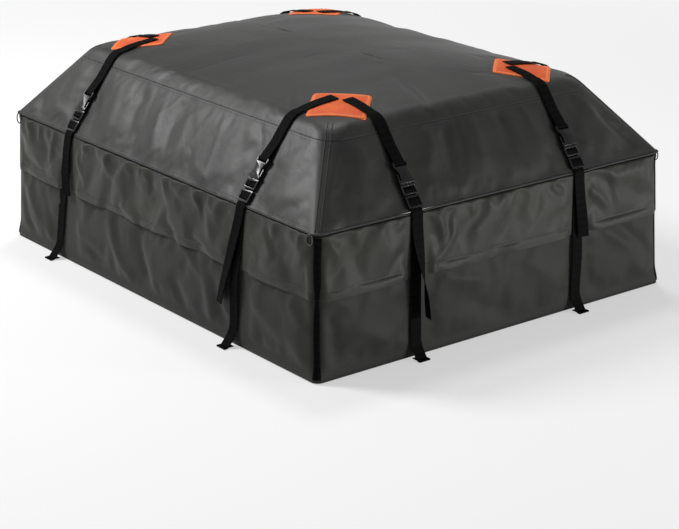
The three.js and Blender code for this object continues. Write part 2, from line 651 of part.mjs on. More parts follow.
// Finishes.
const finish = (color, roughness, metalness = 0) => ({ color, roughness, metalness });
const FABRIC = finish(0x34353a, 0.55);
const WEBBING = finish(0x141416, 0.8);
const PLASTIC = finish(0x101012, 0.3);
const ORANGE = finish(0xf2651f, 0.6);
const NICKEL = finish(0x9a9a9e, 0.35, 0.9);

function named(name, geometry, material) {
  const mesh = new THREE.Mesh(geometry, new THREE.MeshStandardMaterial(material));
  mesh.name = name;
  return mesh;
}

const bag = new THREE.Group();
bag.add(named("bag_body", bagGeometry(), FABRIC));
bag.add(named("storm_flap", flapGeometry(), FABRIC));
bag.add(named("zip_chain", zipGeometry(), WEBBING));
for (const [name, side] of [["zip_slider_left", -1], ["zip_slider_right", 1]]) {
  const slider = named(name, sliderGeometry(), NICKEL);
  slider.position.x = side * SLIDER_PARTING;
  bag.add(slider);
}
for (const [sx, endName] of [[-1, "left"], [1, "right"]]) {
  for (const [sy, rowName] of [[-1, "front"], [1, "rear"]]) {
    const cx = sx * (END_STRAP_PLACE + PATCH_OUTSET_X);
    const cy = sy * (SIDE_STRAP_PLACE + PATCH_OUTSET_Y);
    bag.add(named(`patch_${rowName}_${endName}`, patchGeometry(cx, cy), ORANGE));
  }
}

// Straps: where each stands along its face, how far it leans towards the floor, and its tail's length.
const STRAPS = [
  { face: "left", end: "rear", side: -1, lean: -LEAN_FAR, tail: TAIL_SHORT },
  { face: "left", end: "front", side: 1, lean: -LEAN_NEAR, tail: TAIL_LONG },
  { face: "front", end: "left", side: -1, lean: -LEAN_SLIGHT, tail: TAIL_LONG },
  { face: "front", end: "right", side: 1, lean: -LEAN_SLIGHT, tail: TAIL_SHORT },
  { face: "right", end: "front", side: -1, lean: LEAN_SLIGHT, tail: TAIL_MIDDLE },
  { face: "right", end: "rear", side: 1, lean: LEAN_SLIGHT, tail: TAIL_SHORT },
  { face: "rear", end: "right", side: -1, lean: LEAN_SLIGHT, tail: TAIL_MIDDLE },
  { face: "rear", end: "left", side: 1, lean: -LEAN_SLIGHT, tail: TAIL_MIDDLE },
];
for (const { face: faceName, end, side, lean, tail } of STRAPS) {
  const face = FACES.find(({ name }) => name === faceName);
  const along = side * strapPlace(face);
  const label = `${faceName}_${end}`;
  const faceFrame = new THREE.Group();
  faceFrame.rotation.z = face.angle;
  const strapFrame = new THREE.Group();
  strapFrame.position.x = along;
  strapFrame.add(named(`upper_strap_${label}`, upperStrap(face, along), WEBBING));
  strapFrame.add(named(`lower_strap_${label}`, lowerStrap(face, lean, tail), WEBBING));
  const slopeFrame = new THREE.Group();
  slopeFrame.position.set(0, -(face.reach - WALL_TAPER), SEAM_HEIGHT);
  slopeFrame.rotation.x = SLOPE_ANGLE;
  slopeFrame.add(named(`socket_${label}`, socketGeometry(), PLASTIC));
  slopeFrame.add(named(`plug_${label}`, plugGeometry(), PLASTIC));
  slopeFrame.add(named(`strap_slider_${label}`, glideGeometry(), PLASTIC));
  strapFrame.add(slopeFrame);
  faceFrame.add(strapFrame);
  bag.add(faceFrame);
}

export default bag;
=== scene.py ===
"""Dresses the soft roof cargo bag: sewn and filled fabric, a storm flap, webbing and buckles.

Lengths are in millimetres and become metres as a mesh is made. +Z is up and the front end faces -Y.
"""

import math

import bpy
import numpy as np
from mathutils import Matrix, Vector
from mathutils.bvhtree import BVHTree

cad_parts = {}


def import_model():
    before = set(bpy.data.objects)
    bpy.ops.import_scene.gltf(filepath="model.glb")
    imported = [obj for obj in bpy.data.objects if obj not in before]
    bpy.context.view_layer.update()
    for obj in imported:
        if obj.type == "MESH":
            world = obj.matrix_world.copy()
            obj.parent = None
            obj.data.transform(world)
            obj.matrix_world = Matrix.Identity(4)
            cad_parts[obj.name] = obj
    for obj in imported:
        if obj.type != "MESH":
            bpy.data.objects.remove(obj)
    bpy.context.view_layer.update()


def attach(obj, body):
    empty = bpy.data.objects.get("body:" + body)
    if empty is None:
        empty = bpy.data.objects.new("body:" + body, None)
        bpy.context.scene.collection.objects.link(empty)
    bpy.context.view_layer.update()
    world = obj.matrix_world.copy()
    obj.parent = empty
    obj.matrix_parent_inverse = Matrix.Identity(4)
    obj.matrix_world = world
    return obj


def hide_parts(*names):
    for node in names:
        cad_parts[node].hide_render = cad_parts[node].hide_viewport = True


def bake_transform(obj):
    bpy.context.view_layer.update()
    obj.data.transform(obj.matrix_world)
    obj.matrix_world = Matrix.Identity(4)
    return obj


MM = 0.001
SEED = 7

# Bag, with the sizes of its solid.
WIDTH = 864
LENGTH = 1060
SEAM_HEIGHT = 274
RIDGE_HEIGHT = 424
CROWN_HEIGHT = 30
WALL_TAPER = 11
SLOPE_RUN = 113
RIDGE_RADIUS = 40
BASE_EDGE_RADIUS = 8
WALL_CORNER_RADIUS = 14
RIDGE_CORNER_RADIUS = 44
CROWN_CORNER_GROWTH = 0.45
CROWN_CORNER_LIMIT = 0.85
CROWN_FULLNESS = 0.85
CROWN_MIDDLE_INSET = 424
WELT_PROUD = 1.5
WELT_DROP = 6
RECESS_DEPTH = 12
RECESS_BOTTOM = 162
RECESS_EDGE = 4
TOP_SEAM_UP = 157

# Fabric mesh.
FABRIC_STEP = 8.5
FLAP_STEP = 6.2
ROW_STEP = 8
CORNER_STEPS = 8

# Storm flap.
FLAP_TOP = 268
FLAP_BOTTOM = 152
FLAP_STAND = 1.2
FLAP_SHEET = 1.1
FLAP_FLARE = 2.5
HEM_WIDTH = 16

# How much of each drawn fold shows, by the fabric's tension.
SLOPE_FOLD_SHARES = {"left": 0.4, "front": 0.85, "right": 0.5, "rear": 0.5}
WALL_FOLD_SHARES = {"left": 0.65, "front": 1.2, "right": 0.7, "rear": 0.7}
FLAP_FOLD_SHARES = {"left": 0.75, "front": 1.15, "right": 0.8, "rear": 0.8}
HEM_BULGE = 1.8

# Cloth simulation. Sideways is the share of a sideways motion that is kept.
CLOTH_FRAMES = 14
SIDEWAYS_SHARE = 0.5

# Upright corners, where the fabric is pushed in with painted shade, under a black tape that stands in for
# the shade there.
TUCK_WIDTH = 14
TUCK_DEPTH = 5
SHADE_BINDING_HALF = 8
SHADE_BINDING_WAVER = 3
SHADE_BINDING_STAND = 0.5
SHADE_BINDING_THICKNESS = 0.8
SHADE_BINDING_STEP = 6

# Where a strap presses the seam's piping in: how deep, and how far beside the strap's middle.
PIPING_PRESS = 3.2
PRESS_HALF = 21

# Cord loops sewn in the seam beside the corners.
LOOP_PLACE = 26
LOOP_HALF_WIDTH = 8
LOOP_HALF_HEIGHT = 10
LOOP_MIDDLE = 262
LOOP_STAND = 4
LOOP_CORD = 1.2

# Rows of stitches above the base and on the flap.
BASE_STITCH_HEIGHT = 17
FLAP_STITCH_UPS = (13, 19)

# Straps.
CLEARANCE = 0.3
SEAT_GAP = 0.5
WEBBING_WIDTH = 25
WEBBING_THICKNESS = 1.4
SIDE_STRAP_PLACE = 300
END_STRAP_PLACE = 200
SIDE_STRAP_OVERRUN = 12
END_STRAP_OVERRUN = 22
FLAP_PROUD = 1.9
FLOOR_HEM_LENGTH = 27
FLOOR_HEM_FOLD = 21
FLOOR_HEM_TURN = 9
LEAN_CURVE = 0.7

# Patches.
PATCH_SIDE = 110
PATCH_THICKNESS = 1
PATCH_GAP = 1.1
STRAP_ON_PATCH_GAP = 0.8
PATCH_OUTSET_X = 25
PATCH_OUTSET_Y = 30
PATCH_STEP = 2.75
PATCH_HEM = 9

# Camera, found from the corners of the bag in the photograph.
CAMERA_PLACE = (-2.3620, -3.0727, 1.3492)
CAMERA_AIM = (0.57987, 0.74401, -0.33197)
CAMERA_LENS = 104.93
CAMERA_SENSOR = 36

# Studio: the room's level, how the floor whitens, and each lamp's place, target, size and power.
WHITE = (1, 1, 1, 1)
WORLD_LEVEL = 0.28
FLOOR_GLOW = 0.5
GLOW_NEAR = 1.7
GLOW_FAR = 4.2
FLOOR_SIDE = 40
BACKDROP_RADIUS = 19
BACKDROP_HEIGHT = 5
LAMPS = {
    "key": ((-2.0, 2.1, 2.9), (0, 0, 0.3), 1.2, 118),
    "fill": ((2.0, -3.3, 0.3), (0, 0, 0.1), 0.7, 70),
    "back": ((0.9, 1.2, 3.9), (0, 0, 0.2), 0.9, 44),
}

# A wave texture at scale 1 repeats at this many metres.
WAVE_PERIOD = 2 * math.pi / 20

SLOPE_ANGLE = math.atan2(RIDGE_HEIGHT - SEAM_HEIGHT, SLOPE_RUN)
SLOPE_LENGTH = math.hypot(RIDGE_HEIGHT - SEAM_HEIGHT, SLOPE_RUN)
RIDGE_INSET = WALL_TAPER + SLOPE_RUN
ARC_REACH = RIDGE_RADIUS * math.tan(SLOPE_ANGLE / 2)
CROWN_START = RIDGE_INSET + ARC_REACH
HALF_WEB = WEBBING_THICKNESS / 2
TUB_TOP = RECESS_BOTTOM - RECESS_EDGE


class Face:
    """One of the bag's four sides. Along runs to the right as the side is looked at."""

    def __init__(self, name, angle, reach, half, strap_place):
        self.name, self.reach, self.half, self.strap_place = name, reach, half, strap_place
        self.is_long = reach == WIDTH / 2
        self.turn = np.array([[math.cos(angle), -math.sin(angle)], [math.sin(angle), math.cos(angle)]])

    def plan(self, along, out):
        """Plan points from places along the side and distances out from the middle."""
        local = np.stack(np.broadcast_arrays(along, -np.asarray(out, float)), -1)
        return local @ self.turn.T


FACES = [
    Face("left", -math.pi / 2, WIDTH / 2, LENGTH / 2, SIDE_STRAP_PLACE),
    Face("front", 0, LENGTH / 2, WIDTH / 2, END_STRAP_PLACE),
    Face("right", math.pi / 2, WIDTH / 2, LENGTH / 2, SIDE_STRAP_PLACE),
    Face("rear", math.pi, LENGTH / 2, WIDTH / 2, END_STRAP_PLACE),
]
# Each corner's name and the signs of its x and y.
CORNERS = {
    f"{end}_{side}": (x_sign, y_sign)
    for x_sign, side in ((-1, "left"), (1, "right"))
    for y_sign, end in ((-1, "front"), (1, "rear"))
}
PATCH_PLACES = {
    corner: (x_sign * (END_STRAP_PLACE + PATCH_OUTSET_X), y_sign * (SIDE_STRAP_PLACE + PATCH_OUTSET_Y))
    for corner, (x_sign, y_sign) in CORNERS.items()
}


def smooth(x, low, high):
    """0 below low and 1 above high, with a smooth step between."""
    share = np.clip((np.asarray(x, float) - low) / (high - low), 0, 1)
    return share * share * (3 - 2 * share)


def bump(x, middle, width):
    """1 at the middle, fading to 0 over a width on both sides."""
    return np.exp(-(((x - middle) / width) ** 2))


def distances(points):
    """How far along a line each of its points lies."""
    return np.concatenate([[0], np.cumsum(np.linalg.norm(np.diff(points, axis=0), axis=1))])


def quads(rows, count, round_rows=False, round_columns=True):
    """The quads of a grid of points, which may close on itself either way."""
    here = np.arange(rows * count).reshape(rows, count)
    ahead = np.roll(here, -1, axis=1)
    made = np.stack([here, ahead, np.roll(ahead, -1, axis=0), np.roll(here, -1, axis=0)], -1)
    made = made[: rows if round_rows else -1, : count if round_columns else -1]
    return made.reshape(-1, 4).tolist()


def wall_inset(z):
    return WALL_TAPER * z / SEAM_HEIGHT


def crown_rise(inset):
    share = np.clip((inset - CROWN_START) / (WIDTH / 2 - CROWN_START), 0, 1)
    return CROWN_HEIGHT * np.sin(math.pi / 2 * share**CROWN_FULLNESS)


def corner_radius(inset):
    if inset > RIDGE_INSET:
        grown = RIDGE_CORNER_RADIUS + (inset - RIDGE_INSET) * CROWN_CORNER_GROWTH
        return min(grown, (WIDTH / 2 - inset) * CROWN_CORNER_LIMIT)
    share = min(max((inset - WALL_TAPER) / SLOPE_RUN, 0), 1)
    return WALL_CORNER_RADIUS + (RIDGE_CORNER_RADIUS - WALL_CORNER_RADIUS) * share


def roof_height(inset):
    """Height of the roof at an inset from the base's outline."""
    inset = np.asarray(inset, float)
    slope = SEAM_HEIGHT + (inset - WALL_TAPER) * math.tan(SLOPE_ANGLE)
    past = CROWN_START - inset
    arc = RIDGE_HEIGHT - RIDGE_RADIUS + np.sqrt(np.clip(RIDGE_RADIUS**2 - past**2, 0, None))
    crown = RIDGE_HEIGHT + crown_rise(inset)
    on_slope = inset <= RIDGE_INSET - ARC_REACH * math.cos(SLOPE_ANGLE)
    return np.where(on_slope, slope, np.where(past <= 0, crown, arc))


def inset_at(x, y, rounds=30):
    """How far in from the base's outline a plan point lies, found by halving."""
    x, y = np.broadcast_arrays(np.abs(np.asarray(x, float)), np.abs(np.asarray(y, float)))
    low = np.zeros(x.shape)
    high = np.full(x.shape, WIDTH / 2)
    radius_of = np.vectorize(corner_radius)
    for _ in range(rounds):
        inset = (low + high) / 2
        radius = radius_of(inset)
        dx = x - (WIDTH / 2 - inset - radius)
        dy = y - (LENGTH / 2 - inset - radius)
        beyond = np.hypot(np.maximum(dx, 0), np.maximum(dy, 0)) + np.minimum(np.maximum(dx, dy), 0) - radius
        high = np.where(beyond > 0, inset, high)
        low = np.where(beyond > 0, low, inset)
    return low


def roof_at(x, y):
    return roof_height(inset_at(x, y))


# Outlines and rows of the fabric


class Outline:
    """The rounded outline at an inset: plan points, outward normals, faces, places along them, and how far
    beside the middle of the nearest corner each point lies."""

    def __init__(self, inset, step):
        radius = corner_radius(inset)
        sides = []
        for number, face in enumerate(FACES):
            straight = face.half - inset - radius
            steps = round(2 * (face.half - RIDGE_CORNER_RADIUS) / step)
            lean = np.append(np.zeros(steps + 1), np.pi / 2 * np.arange(1, CORNER_STEPS) / CORNER_STEPS)
            along = np.append(straight * np.linspace(-1, 1, steps + 1), np.full(CORNER_STEPS - 1, straight))
            along = along + radius * np.sin(lean)
            out = face.reach - inset - radius + radius * np.cos(lean)
            normal = np.stack([np.sin(lean), -np.cos(lean)], -1) @ face.turn.T
            beside = math.pi / 4 * radius + straight - np.abs(along)
            beside = np.where(lean > 0, radius * np.abs(lean - math.pi / 4), beside)
            sides.append((face.plan(along, out), normal, np.full(len(along), number), along, beside))
        self.plan, self.normal, self.face, self.along, self.beside = map(np.concatenate, zip(*sides))


def ring(inset, z, tilt, step=FABRIC_STEP):
    """One row of the fabric: its outline, its points and the directions in which its folds stand out."""
    line = Outline(inset, step)
    level = np.ones(len(line.plan))
    outward = np.column_stack([line.normal * math.sin(tilt), math.cos(tilt) * level])
    return line, np.column_stack([line.plan, z * level]), outward


def base_rows():
    rows = [(inset, 0, math.pi) for inset in (CROWN_MIDDLE_INSET, 330, 220, 120, 50, 20, BASE_EDGE_RADIUS)]
    for turn in (0.35, 0.7, 1):
        angle = turn * math.pi / 2
        inset = BASE_EDGE_RADIUS * (1 - math.sin(angle)) + wall_inset(BASE_EDGE_RADIUS) * turn
        rows.append((inset, BASE_EDGE_RADIUS * (1 - math.cos(angle)), math.pi - angle))
    return rows


def wall_rows():
    """Rows of the tub from the base's middle up to the seam, with the zip's recess."""
    rows = base_rows()
    for z in np.linspace(BASE_EDGE_RADIUS + ROW_STEP, TUB_TOP, round(TUB_TOP / ROW_STEP)):
        rows.append((wall_inset(z), z, math.pi / 2))
    recess_top = SEAM_HEIGHT - WELT_DROP - RECESS_EDGE
    for z in np.linspace(RECESS_BOTTOM, recess_top, round((recess_top - RECESS_BOTTOM) / ROW_STEP)):
        rows.append((wall_inset(z) + RECESS_DEPTH, z, math.pi / 2))
    rows.append((WALL_TAPER - WELT_PROUD / 2, SEAM_HEIGHT - WELT_DROP + 1, math.pi / 2))
    rows.append((WALL_TAPER - WELT_PROUD / 2, SEAM_HEIGHT - 2, math.pi / 2))
    return rows


def roof_rows():
    """Rows of the roof from the seam to the middle of the crown."""
    rows = []
    arc_foot = SLOPE_LENGTH - ARC_REACH
    for up in np.linspace(0, arc_foot, round(arc_foot / ROW_STEP) + 1):
        inset = WALL_TAPER + up * math.cos(SLOPE_ANGLE)
        rows.append((inset, float(roof_height(inset)), SLOPE_ANGLE))
    for turn in np.linspace(1, 0, 6)[1:]:
        angle = SLOPE_ANGLE * turn
        inset = CROWN_START - RIDGE_RADIUS * math.sin(angle)
        rows.append((inset, RIDGE_HEIGHT - RIDGE_RADIUS * (1 - math.cos(angle)), angle))
    crown = CROWN_MIDDLE_INSET - CROWN_START
    for share in np.linspace(0, 1, round(crown / (1.25 * ROW_STEP)))[1:]:
        inset = CROWN_START + crown * share
        rows.append((inset, float(roof_height(inset)), 0))
    return rows


class Sheet:
    """A lofted skin of rows, each an outline of the bag, kept as arrays until its mesh is made."""

    def __init__(self, rows, step=FABRIC_STEP):
        outlines, points, outward = zip(*(ring(*row, step) for row in rows))
        self.points = np.array(points)
        self.outward = np.array(outward)
        self.face = np.array([line.face for line in outlines])
        self.along = np.array([line.along for line in outlines])
        self.beside = np.array([line.beside for line in outlines])
        self.count = self.face.shape[1]
        self.run = distances(np.array(rows, float)[:, :2])

    def raise_by(self, lift):
        self.points += self.outward * lift[:, :, None]

    def make(self, name, before=(), after=()):
        """The sheet's mesh. Its threads run round the bag and up its section."""
        round_way = distances(max(self.points[-1, :, :2], self.points[0, :, :2], key=np.std))
        thread = np.stack(np.meshgrid(round_way, self.run), -1).reshape(-1, 2)
        faces = [*before, *quads(len(self.points), self.count), *after]
        return make_mesh(name, self.points.reshape(-1, 3), faces, thread)


def middle_strip(sheet, row):
    """Quads across the narrow opening that a row leaves, from its front to its rear, facing up."""
    face_points = [np.count_nonzero(sheet.face[0] == number) for number in range(len(FACES))]
    front = face_points[0] + (face_points[1] - CORNER_STEPS) // 2
    start = row * sheet.count
    strip = []
    for step in range(sheet.count // 2):
        ring_places = [front + step, front + step + 1, front - step - 1, front - step]
        corners = [start + place % sheet.count for place in ring_places]
        strip.append(list(dict.fromkeys(corners)))
    return strip


def off_strap(sheet):
    """Distance along the face from the nearest strap's middle."""
    place = np.array([face.strap_place for face in FACES])[sheet.face]
    return np.abs(np.abs(sheet.along) - place)


# Folds: each runs from one place to another on a face, as (along, up), and stands out by its height


class Fold:
    """A ridge or valley pressed into the fabric: sharp at its line and fading over its width."""

    def __init__(self, face, start, end, width, height, bow):
        self.face, self.width, self.height, self.bow = face, width, height, bow
        self.start = np.array(start, float)
        self.end = np.array(end, float)

    def at(self, along, up):
        line = self.end - self.start
        length = np.hypot(*line)
        unit = line / length
        across = np.array([-unit[1], unit[0]])
        offset = np.stack([along - self.start[0], up - self.start[1]], -1)
        share = offset @ unit / length
        bend = self.bow * np.sin(np.pi * np.clip(share, 0, 1))
        beside = np.abs(offset @ across - bend) / self.width
        ends = smooth(share, -0.12, 0.25) * (1 - smooth(share, 0.75, 1.12))
        sharp = np.exp(-(beside**1.4) * 1.6)
        return self.height * ends * sharp


def drawn(**faces):
    """Folds from rows of (along, up, along at the end, up at the end, width, height, bow) for each face."""
    return [Fold(face, row[:2], row[2:4], *row[4:]) for face, rows in faces.items() for row in rows]


SLOPE_FOLDS = drawn(
    left=[
        (-225, 140, -180, 10, 20, 5, 0), (-150, 150, -118, 12, 24, -5, 6), (-105, 60, -72, -4, 11, -6, 4),
        (-60, 120, -12, 8, 20, 6, -6), (-25, 150, 18, 30, 22, -5, 0), (25, 135, 58, 20, 18, 5, 0),
        (84, 70, 128, 2, 8, -5, -4), (130, 26, 185, 2, 12, 7, 4), (190, 150, 235, 70, 24, -4, 0),
        (365, 130, 400, 20, 30, 4, 0), (-505, 30, -440, 0, 12, 7, 5), (-470, 60, -425, 8, 12, -7, 6),
        (-440, 12, -318, 9, 7, -7, 0), (-410, 40, -330, 22, 9, 5, 5), (-385, 130, -400, 50, 20, -5, 0),
    ],
    front=[
        (-95, 165, -145, 60, 26, 5, 5), (-60, 150, -92, 40, 22, -4, 0), (10, 160, -18, 40, 26, 4, 0),
        (70, 160, 62, 60, 24, -4, 0), (130, 150, 150, 50, 20, 4, 0), (275, 150, 330, 30, 16, 5, -5),
        (300, 130, 372, 18, 14, -5, -5), (-392, 28, -368, 2, 12, 7, 0), (-330, 140, -372, 40, 26, -4, 0),
        (-270, 150, -300, 40, 26, 4, 0),
    ],
)

WALL_FOLDS = drawn(
    left=[
        (-500, 120, -436, 18, 18, -7, -8), (-470, 130, -420, 60, 16, 6, -6),
        (-330, 120, -196, 60, 18, 6, -14), (-270, 80, -160, 36, 20, -5, -8),
        (-150, 130, -70, 24, 18, 7, -8), (-60, 140, -10, 30, 26, -8, 8), (0, 110, 26, 16, 24, 5, 0),
        (100, 150, 172, 108, 12, 6, 5), (70, 80, 130, 20, 26, -6, 0), (180, 130, 206, 20, 18, 6, 6),
        (215, 120, 245, 30, 16, -5, 0), (330, 120, 420, 70, 26, 5, -8), (350, 60, 470, 30, 30, -5, 0),
        (440, 140, 500, 90, 22, 4, 0),
    ],
    front=[
        (-412, 140, -386, 30, 16, -8, 10), (-395, 150, -350, 120, 12, 5, 4), (-350, 90, -260, 40, 28, 5, 0),
        (-150, 150, -40, 110, 20, 5, -5), (-100, 90, 20, 40, 34, -4, 0), (60, 130, 150, 60, 30, 4, 0),
        (262, 150, 342, 92, 14, 5, 0), (300, 150, 412, 56, 14, -5, 6), (350, 60, 400, 30, 20, 4, 0),
    ],
)

FLAP_FOLDS = drawn(
    left=[
        (-510, 250, -405, 216, 24, 6, -8), (-360, 262, -385, 200, 16, 4, 0),
        (-276, 236, -240, 196, 9, 6, -4), (-215, 262, -170, 225, 14, -5, 0),
        (-176, 262, -128, 222, 11, 9, -4), (-128, 222, -84, 260, 11, 9, -4),
        (-152, 262, -126, 240, 12, -6, 0), (-30, 262, 34, 248, 11, 7, -8), (10, 262, 4, 220, 14, -5, 0),
        (70, 262, 172, 256, 13, 8, -14), (60, 240, 90, 200, 16, 5, 0), (190, 262, 240, 240, 12, 7, -6),
        (170, 262, 178, 215, 12, -5, 0), (-106, 172, -40, 158, 9, 7, 4), (20, 168, 80, 156, 10, 5, 4),
        (150, 178, 230, 162, 10, 5, 4), (-480, 180, -380, 165, 14, -5, 0), (360, 250, 400, 200, 26, 4, 0),
        (440, 262, 500, 230, 16, 6, -5),
    ],
    front=[
        (-400, 262, -370, 215, 14, 6, 0), (-300, 262, -250, 200, 30, 4, 0),
        (-165, 262, -140, 205, 9, 7, 10), (-160, 175, -110, 225, 9, 7, -6), (20, 262, -80, 205, 20, 7, 5),
        (60, 262, -20, 185, 20, -6, 5), (130, 262, 162, 246, 9, 7, -6), (120, 215, 60, 175, 22, 4, 0),
        (206, 245, 280, 190, 12, 6, 5), (228, 262, 290, 238, 12, -6, 0), (262, 262, 366, 250, 14, 8, -10),
        (300, 225, 390, 205, 20, -5, 0),
    ],
)


def seeded_folds(seed, low, high, height):
    """Folds for the two faces that the photograph doesn't show, like those on the seen ones."""
    rng = np.random.default_rng(seed)
    folds = []
    for face in FACES[2:]:
        along = -face.half + 60
        while along < face.half - 60:
            lean = rng.uniform(-45, 60)
            width = rng.uniform(11, 26)
            tall = height * rng.uniform(0.5, 1.1) * rng.choice([-1, 1])
            start = (along, high - rng.uniform(0, 0.3) * (high - low))
            end = (along + lean, low + rng.uniform(0, 0.4) * (high - low))
            folds.append(Fold(face.name, start, end, width, tall, rng.uniform(-8, 8)))
            along += rng.uniform(38, 74)
    return folds


def gathers(seed, top, reach, height, gap, widths=(4.5, 8)):
    """Short, narrow puckers that run down from a gathered seam, or up where reach is negative."""
    rng = np.random.default_rng(seed)
    folds = []
    for face in FACES:
        along = 30 - face.half
        while along < face.half - 30:
            end = (along + reach * rng.uniform(-0.5, 0.5), top - reach * rng.uniform(0.4, 1))
            tall = height * rng.uniform(0.5, 1) * rng.choice([-1, 1, 1])
            folds.append(Fold(face.name, (along, top), end, rng.uniform(*widths), tall, rng.uniform(-3, 3)))
            along += gap * rng.uniform(0.5, 1.5)
    return folds


def fold_field(sheet, up, folds, shares=None):
    """How far the folds stand out at each point of a sheet. Shares scale them face by face."""
    height = np.zeros(sheet.along.shape)
    names = [face.name for face in FACES]
    for fold in folds:
        on_face = sheet.face == names.index(fold.face)
        share = shares[fold.face] if shares else 1
        height[on_face] += share * fold.at(sheet.along[on_face], up[on_face])
    return height


def ripple(x, y, scale, seed):
    """Slow, even unevenness, as a sum of a few waves in fixed directions."""
    rng = np.random.default_rng(seed)
    total = np.zeros(np.broadcast(x, y).shape)
    for _ in range(6):
        angle = rng.uniform(0, math.pi)
        wavelength = scale * rng.uniform(0.6, 1.5)
        phase = rng.uniform(0, 2 * math.pi)
        total += np.sin((x * math.cos(angle) + y * math.sin(angle)) * 2 * math.pi / wavelength + phase)
    return total / 6


# Meshes


def make_mesh(name, points, faces, uv=None):
    """A new piece from points in millimetres. uv holds a place in metres for each point."""
    mesh = bpy.data.meshes.new(name)
    mesh.from_pydata((np.asarray(points, float) * MM).tolist(), [], faces)
    mesh.update()
    piece = bpy.data.objects.new(name, mesh)
    bpy.context.scene.collection.objects.link(piece)
    if uv is not None:
        layer = mesh.uv_layers.new(name="thread")
        corners = np.zeros(len(mesh.loops), np.int32)
        mesh.loops.foreach_get("vertex_index", corners)
        layer.data.foreach_set("uv", (np.asarray(uv, float) * MM)[corners].astype(np.float32).ravel())
    mesh.shade_smooth()
    return piece


def make_active(piece):
    bpy.ops.object.select_all(action="DESELECT")
    piece.select_set(True)
    bpy.context.view_layer.objects.active = piece


def apply_modifier(piece, kind, **settings):
    """Adds a modifier with these settings and applies it."""
    make_active(piece)
    modifier = piece.modifiers.new(kind.title(), kind)
    for key, value in settings.items():
        setattr(modifier, key, value)
    bpy.ops.object.modifier_apply(modifier=modifier.name)
    return piece


def read_points(piece):
    points = np.zeros(len(piece.data.vertices) * 3)
    piece.data.vertices.foreach_get("co", points)
    return points.reshape(-1, 3) / MM


def write_points(piece, points):
    piece.data.vertices.foreach_set("co", (np.asarray(points) * MM).astype(np.float32).ravel())
    piece.data.update()


def swell(piece, sheet, free, reach, pressure, slack, bending=4.0, start=None):
    """Fills a fabric piece with the Cloth simulation where it is free. Slack is the share of spare fabric,
    which buckles into creases. What moves is held within its reach, (inwards, outwards), of its start."""
    pinned = np.where(free.ravel() < 0.5, 1.0, 0.0)
    start = read_points(piece) if start is None else start.reshape(-1, 3)
    outward = sheet.outward.reshape(-1, 3)
    group = piece.vertex_groups.new(name="pin")
    group.add(np.flatnonzero(pinned).tolist(), 1.0, "REPLACE")
    cloth = piece.modifiers.new("Cloth", "CLOTH")
    fabric = {
        "vertex_group_mass": "pin",
        "quality": 5,
        "mass": 0.15,
        "air_damping": 4,
        "tension_stiffness": 25,
        "compression_stiffness": 25,
        "shear_stiffness": 10,
        "bending_stiffness": bending,
        "use_pressure": True,
        "uniform_pressure_force": pressure,
        "shrink_min": -slack,
    }
    for key, value in fabric.items():
        setattr(cloth.settings, key, value)
    cloth.settings.effector_weights.gravity = 0
    cloth.collision_settings.use_collision = False
    cloth.collision_settings.use_self_collision = False
    cloth.point_cache.frame_start = 1
    cloth.point_cache.frame_end = CLOTH_FRAMES
    for frame in range(1, CLOTH_FRAMES + 1):
        bpy.context.scene.frame_set(frame)
    motion = read_points(piece.evaluated_get(bpy.context.evaluated_depsgraph_get())) - start
    piece.modifiers.remove(cloth)
    piece.vertex_groups.remove(group)
    bpy.context.scene.frame_set(1)
    out = np.sum(motion * outward, axis=-1)
    sideways = motion - out[:, None] * outward
    held = np.clip(out, *reach)[:, None] * outward + SIDEWAYS_SHARE * sideways
    write_points(piece, start + held * (1 - pinned)[:, None])


# Materials


def linear(code):
    """A linear RGBA colour from an sRGB hex value."""
    parts = [int(code[i : i + 2], 16) / 255 for i in (0, 2, 4)]
    return [c / 12.92 if c <= 0.04045 else ((c + 0.055) / 1.055) ** 2.4 for c in parts] + [1.0]


def node(tree, kind, settings=None, links=None):
    """Adds a node. Settings are its properties, its sockets' values or a ramp's stops, as (place, hex).
    Links join its sockets, by name or number, to outputs."""
    made = tree.nodes.new("ShaderNode" + kind)
    for key, value in (settings or {}).items():
        if key == "stops":
            elements = made.color_ramp.elements
            while len(elements) < len(value):
                elements.new(0.5)
            for element, (place, code) in zip(elements, value):
                element.position = place
                element.color = linear(code)
        elif isinstance(key, int) or key in made.inputs:
            made.inputs[key].default_value = value
        else:
            setattr(made, key, value)
    for key, source in (links or {}).items():
        tree.links.new(source, made.inputs[key])
    return made


def start_material(name):
    material = bpy.data.materials.new(name)
    material.use_nodes = True
    tree = material.node_tree
    return material, tree, tree.nodes["Principled BSDF"]


def set_shader(tree, shader, links, values):
    """Joins outputs to some of the shader's sockets and sets the values of others."""
    for key, source in links.items():
        tree.links.new(source, shader.inputs[key])
    for key, value in values.items():
        shader.inputs[key].default_value = value


def weave_height(tree, pitch):
    """Crossed threads along the piece's own UV map, at a pitch in millimetres."""
    thread = {"Vector": node(tree, "UVMap", {"uv_map": "thread"}).outputs["UV"]}
    scale = WAVE_PERIOD / (pitch * MM)
    warp = node(tree, "TexWave", {"bands_direction": "X", "Scale": scale}, thread)
    weft = node(tree, "TexWave", {"bands_direction": "Y", "Scale": scale}, thread)
    both = {0: warp.outputs["Fac"], 1: weft.outputs["Fac"]}
    return node(tree, "Math", {"operation": "MULTIPLY"}, both).outputs[0]


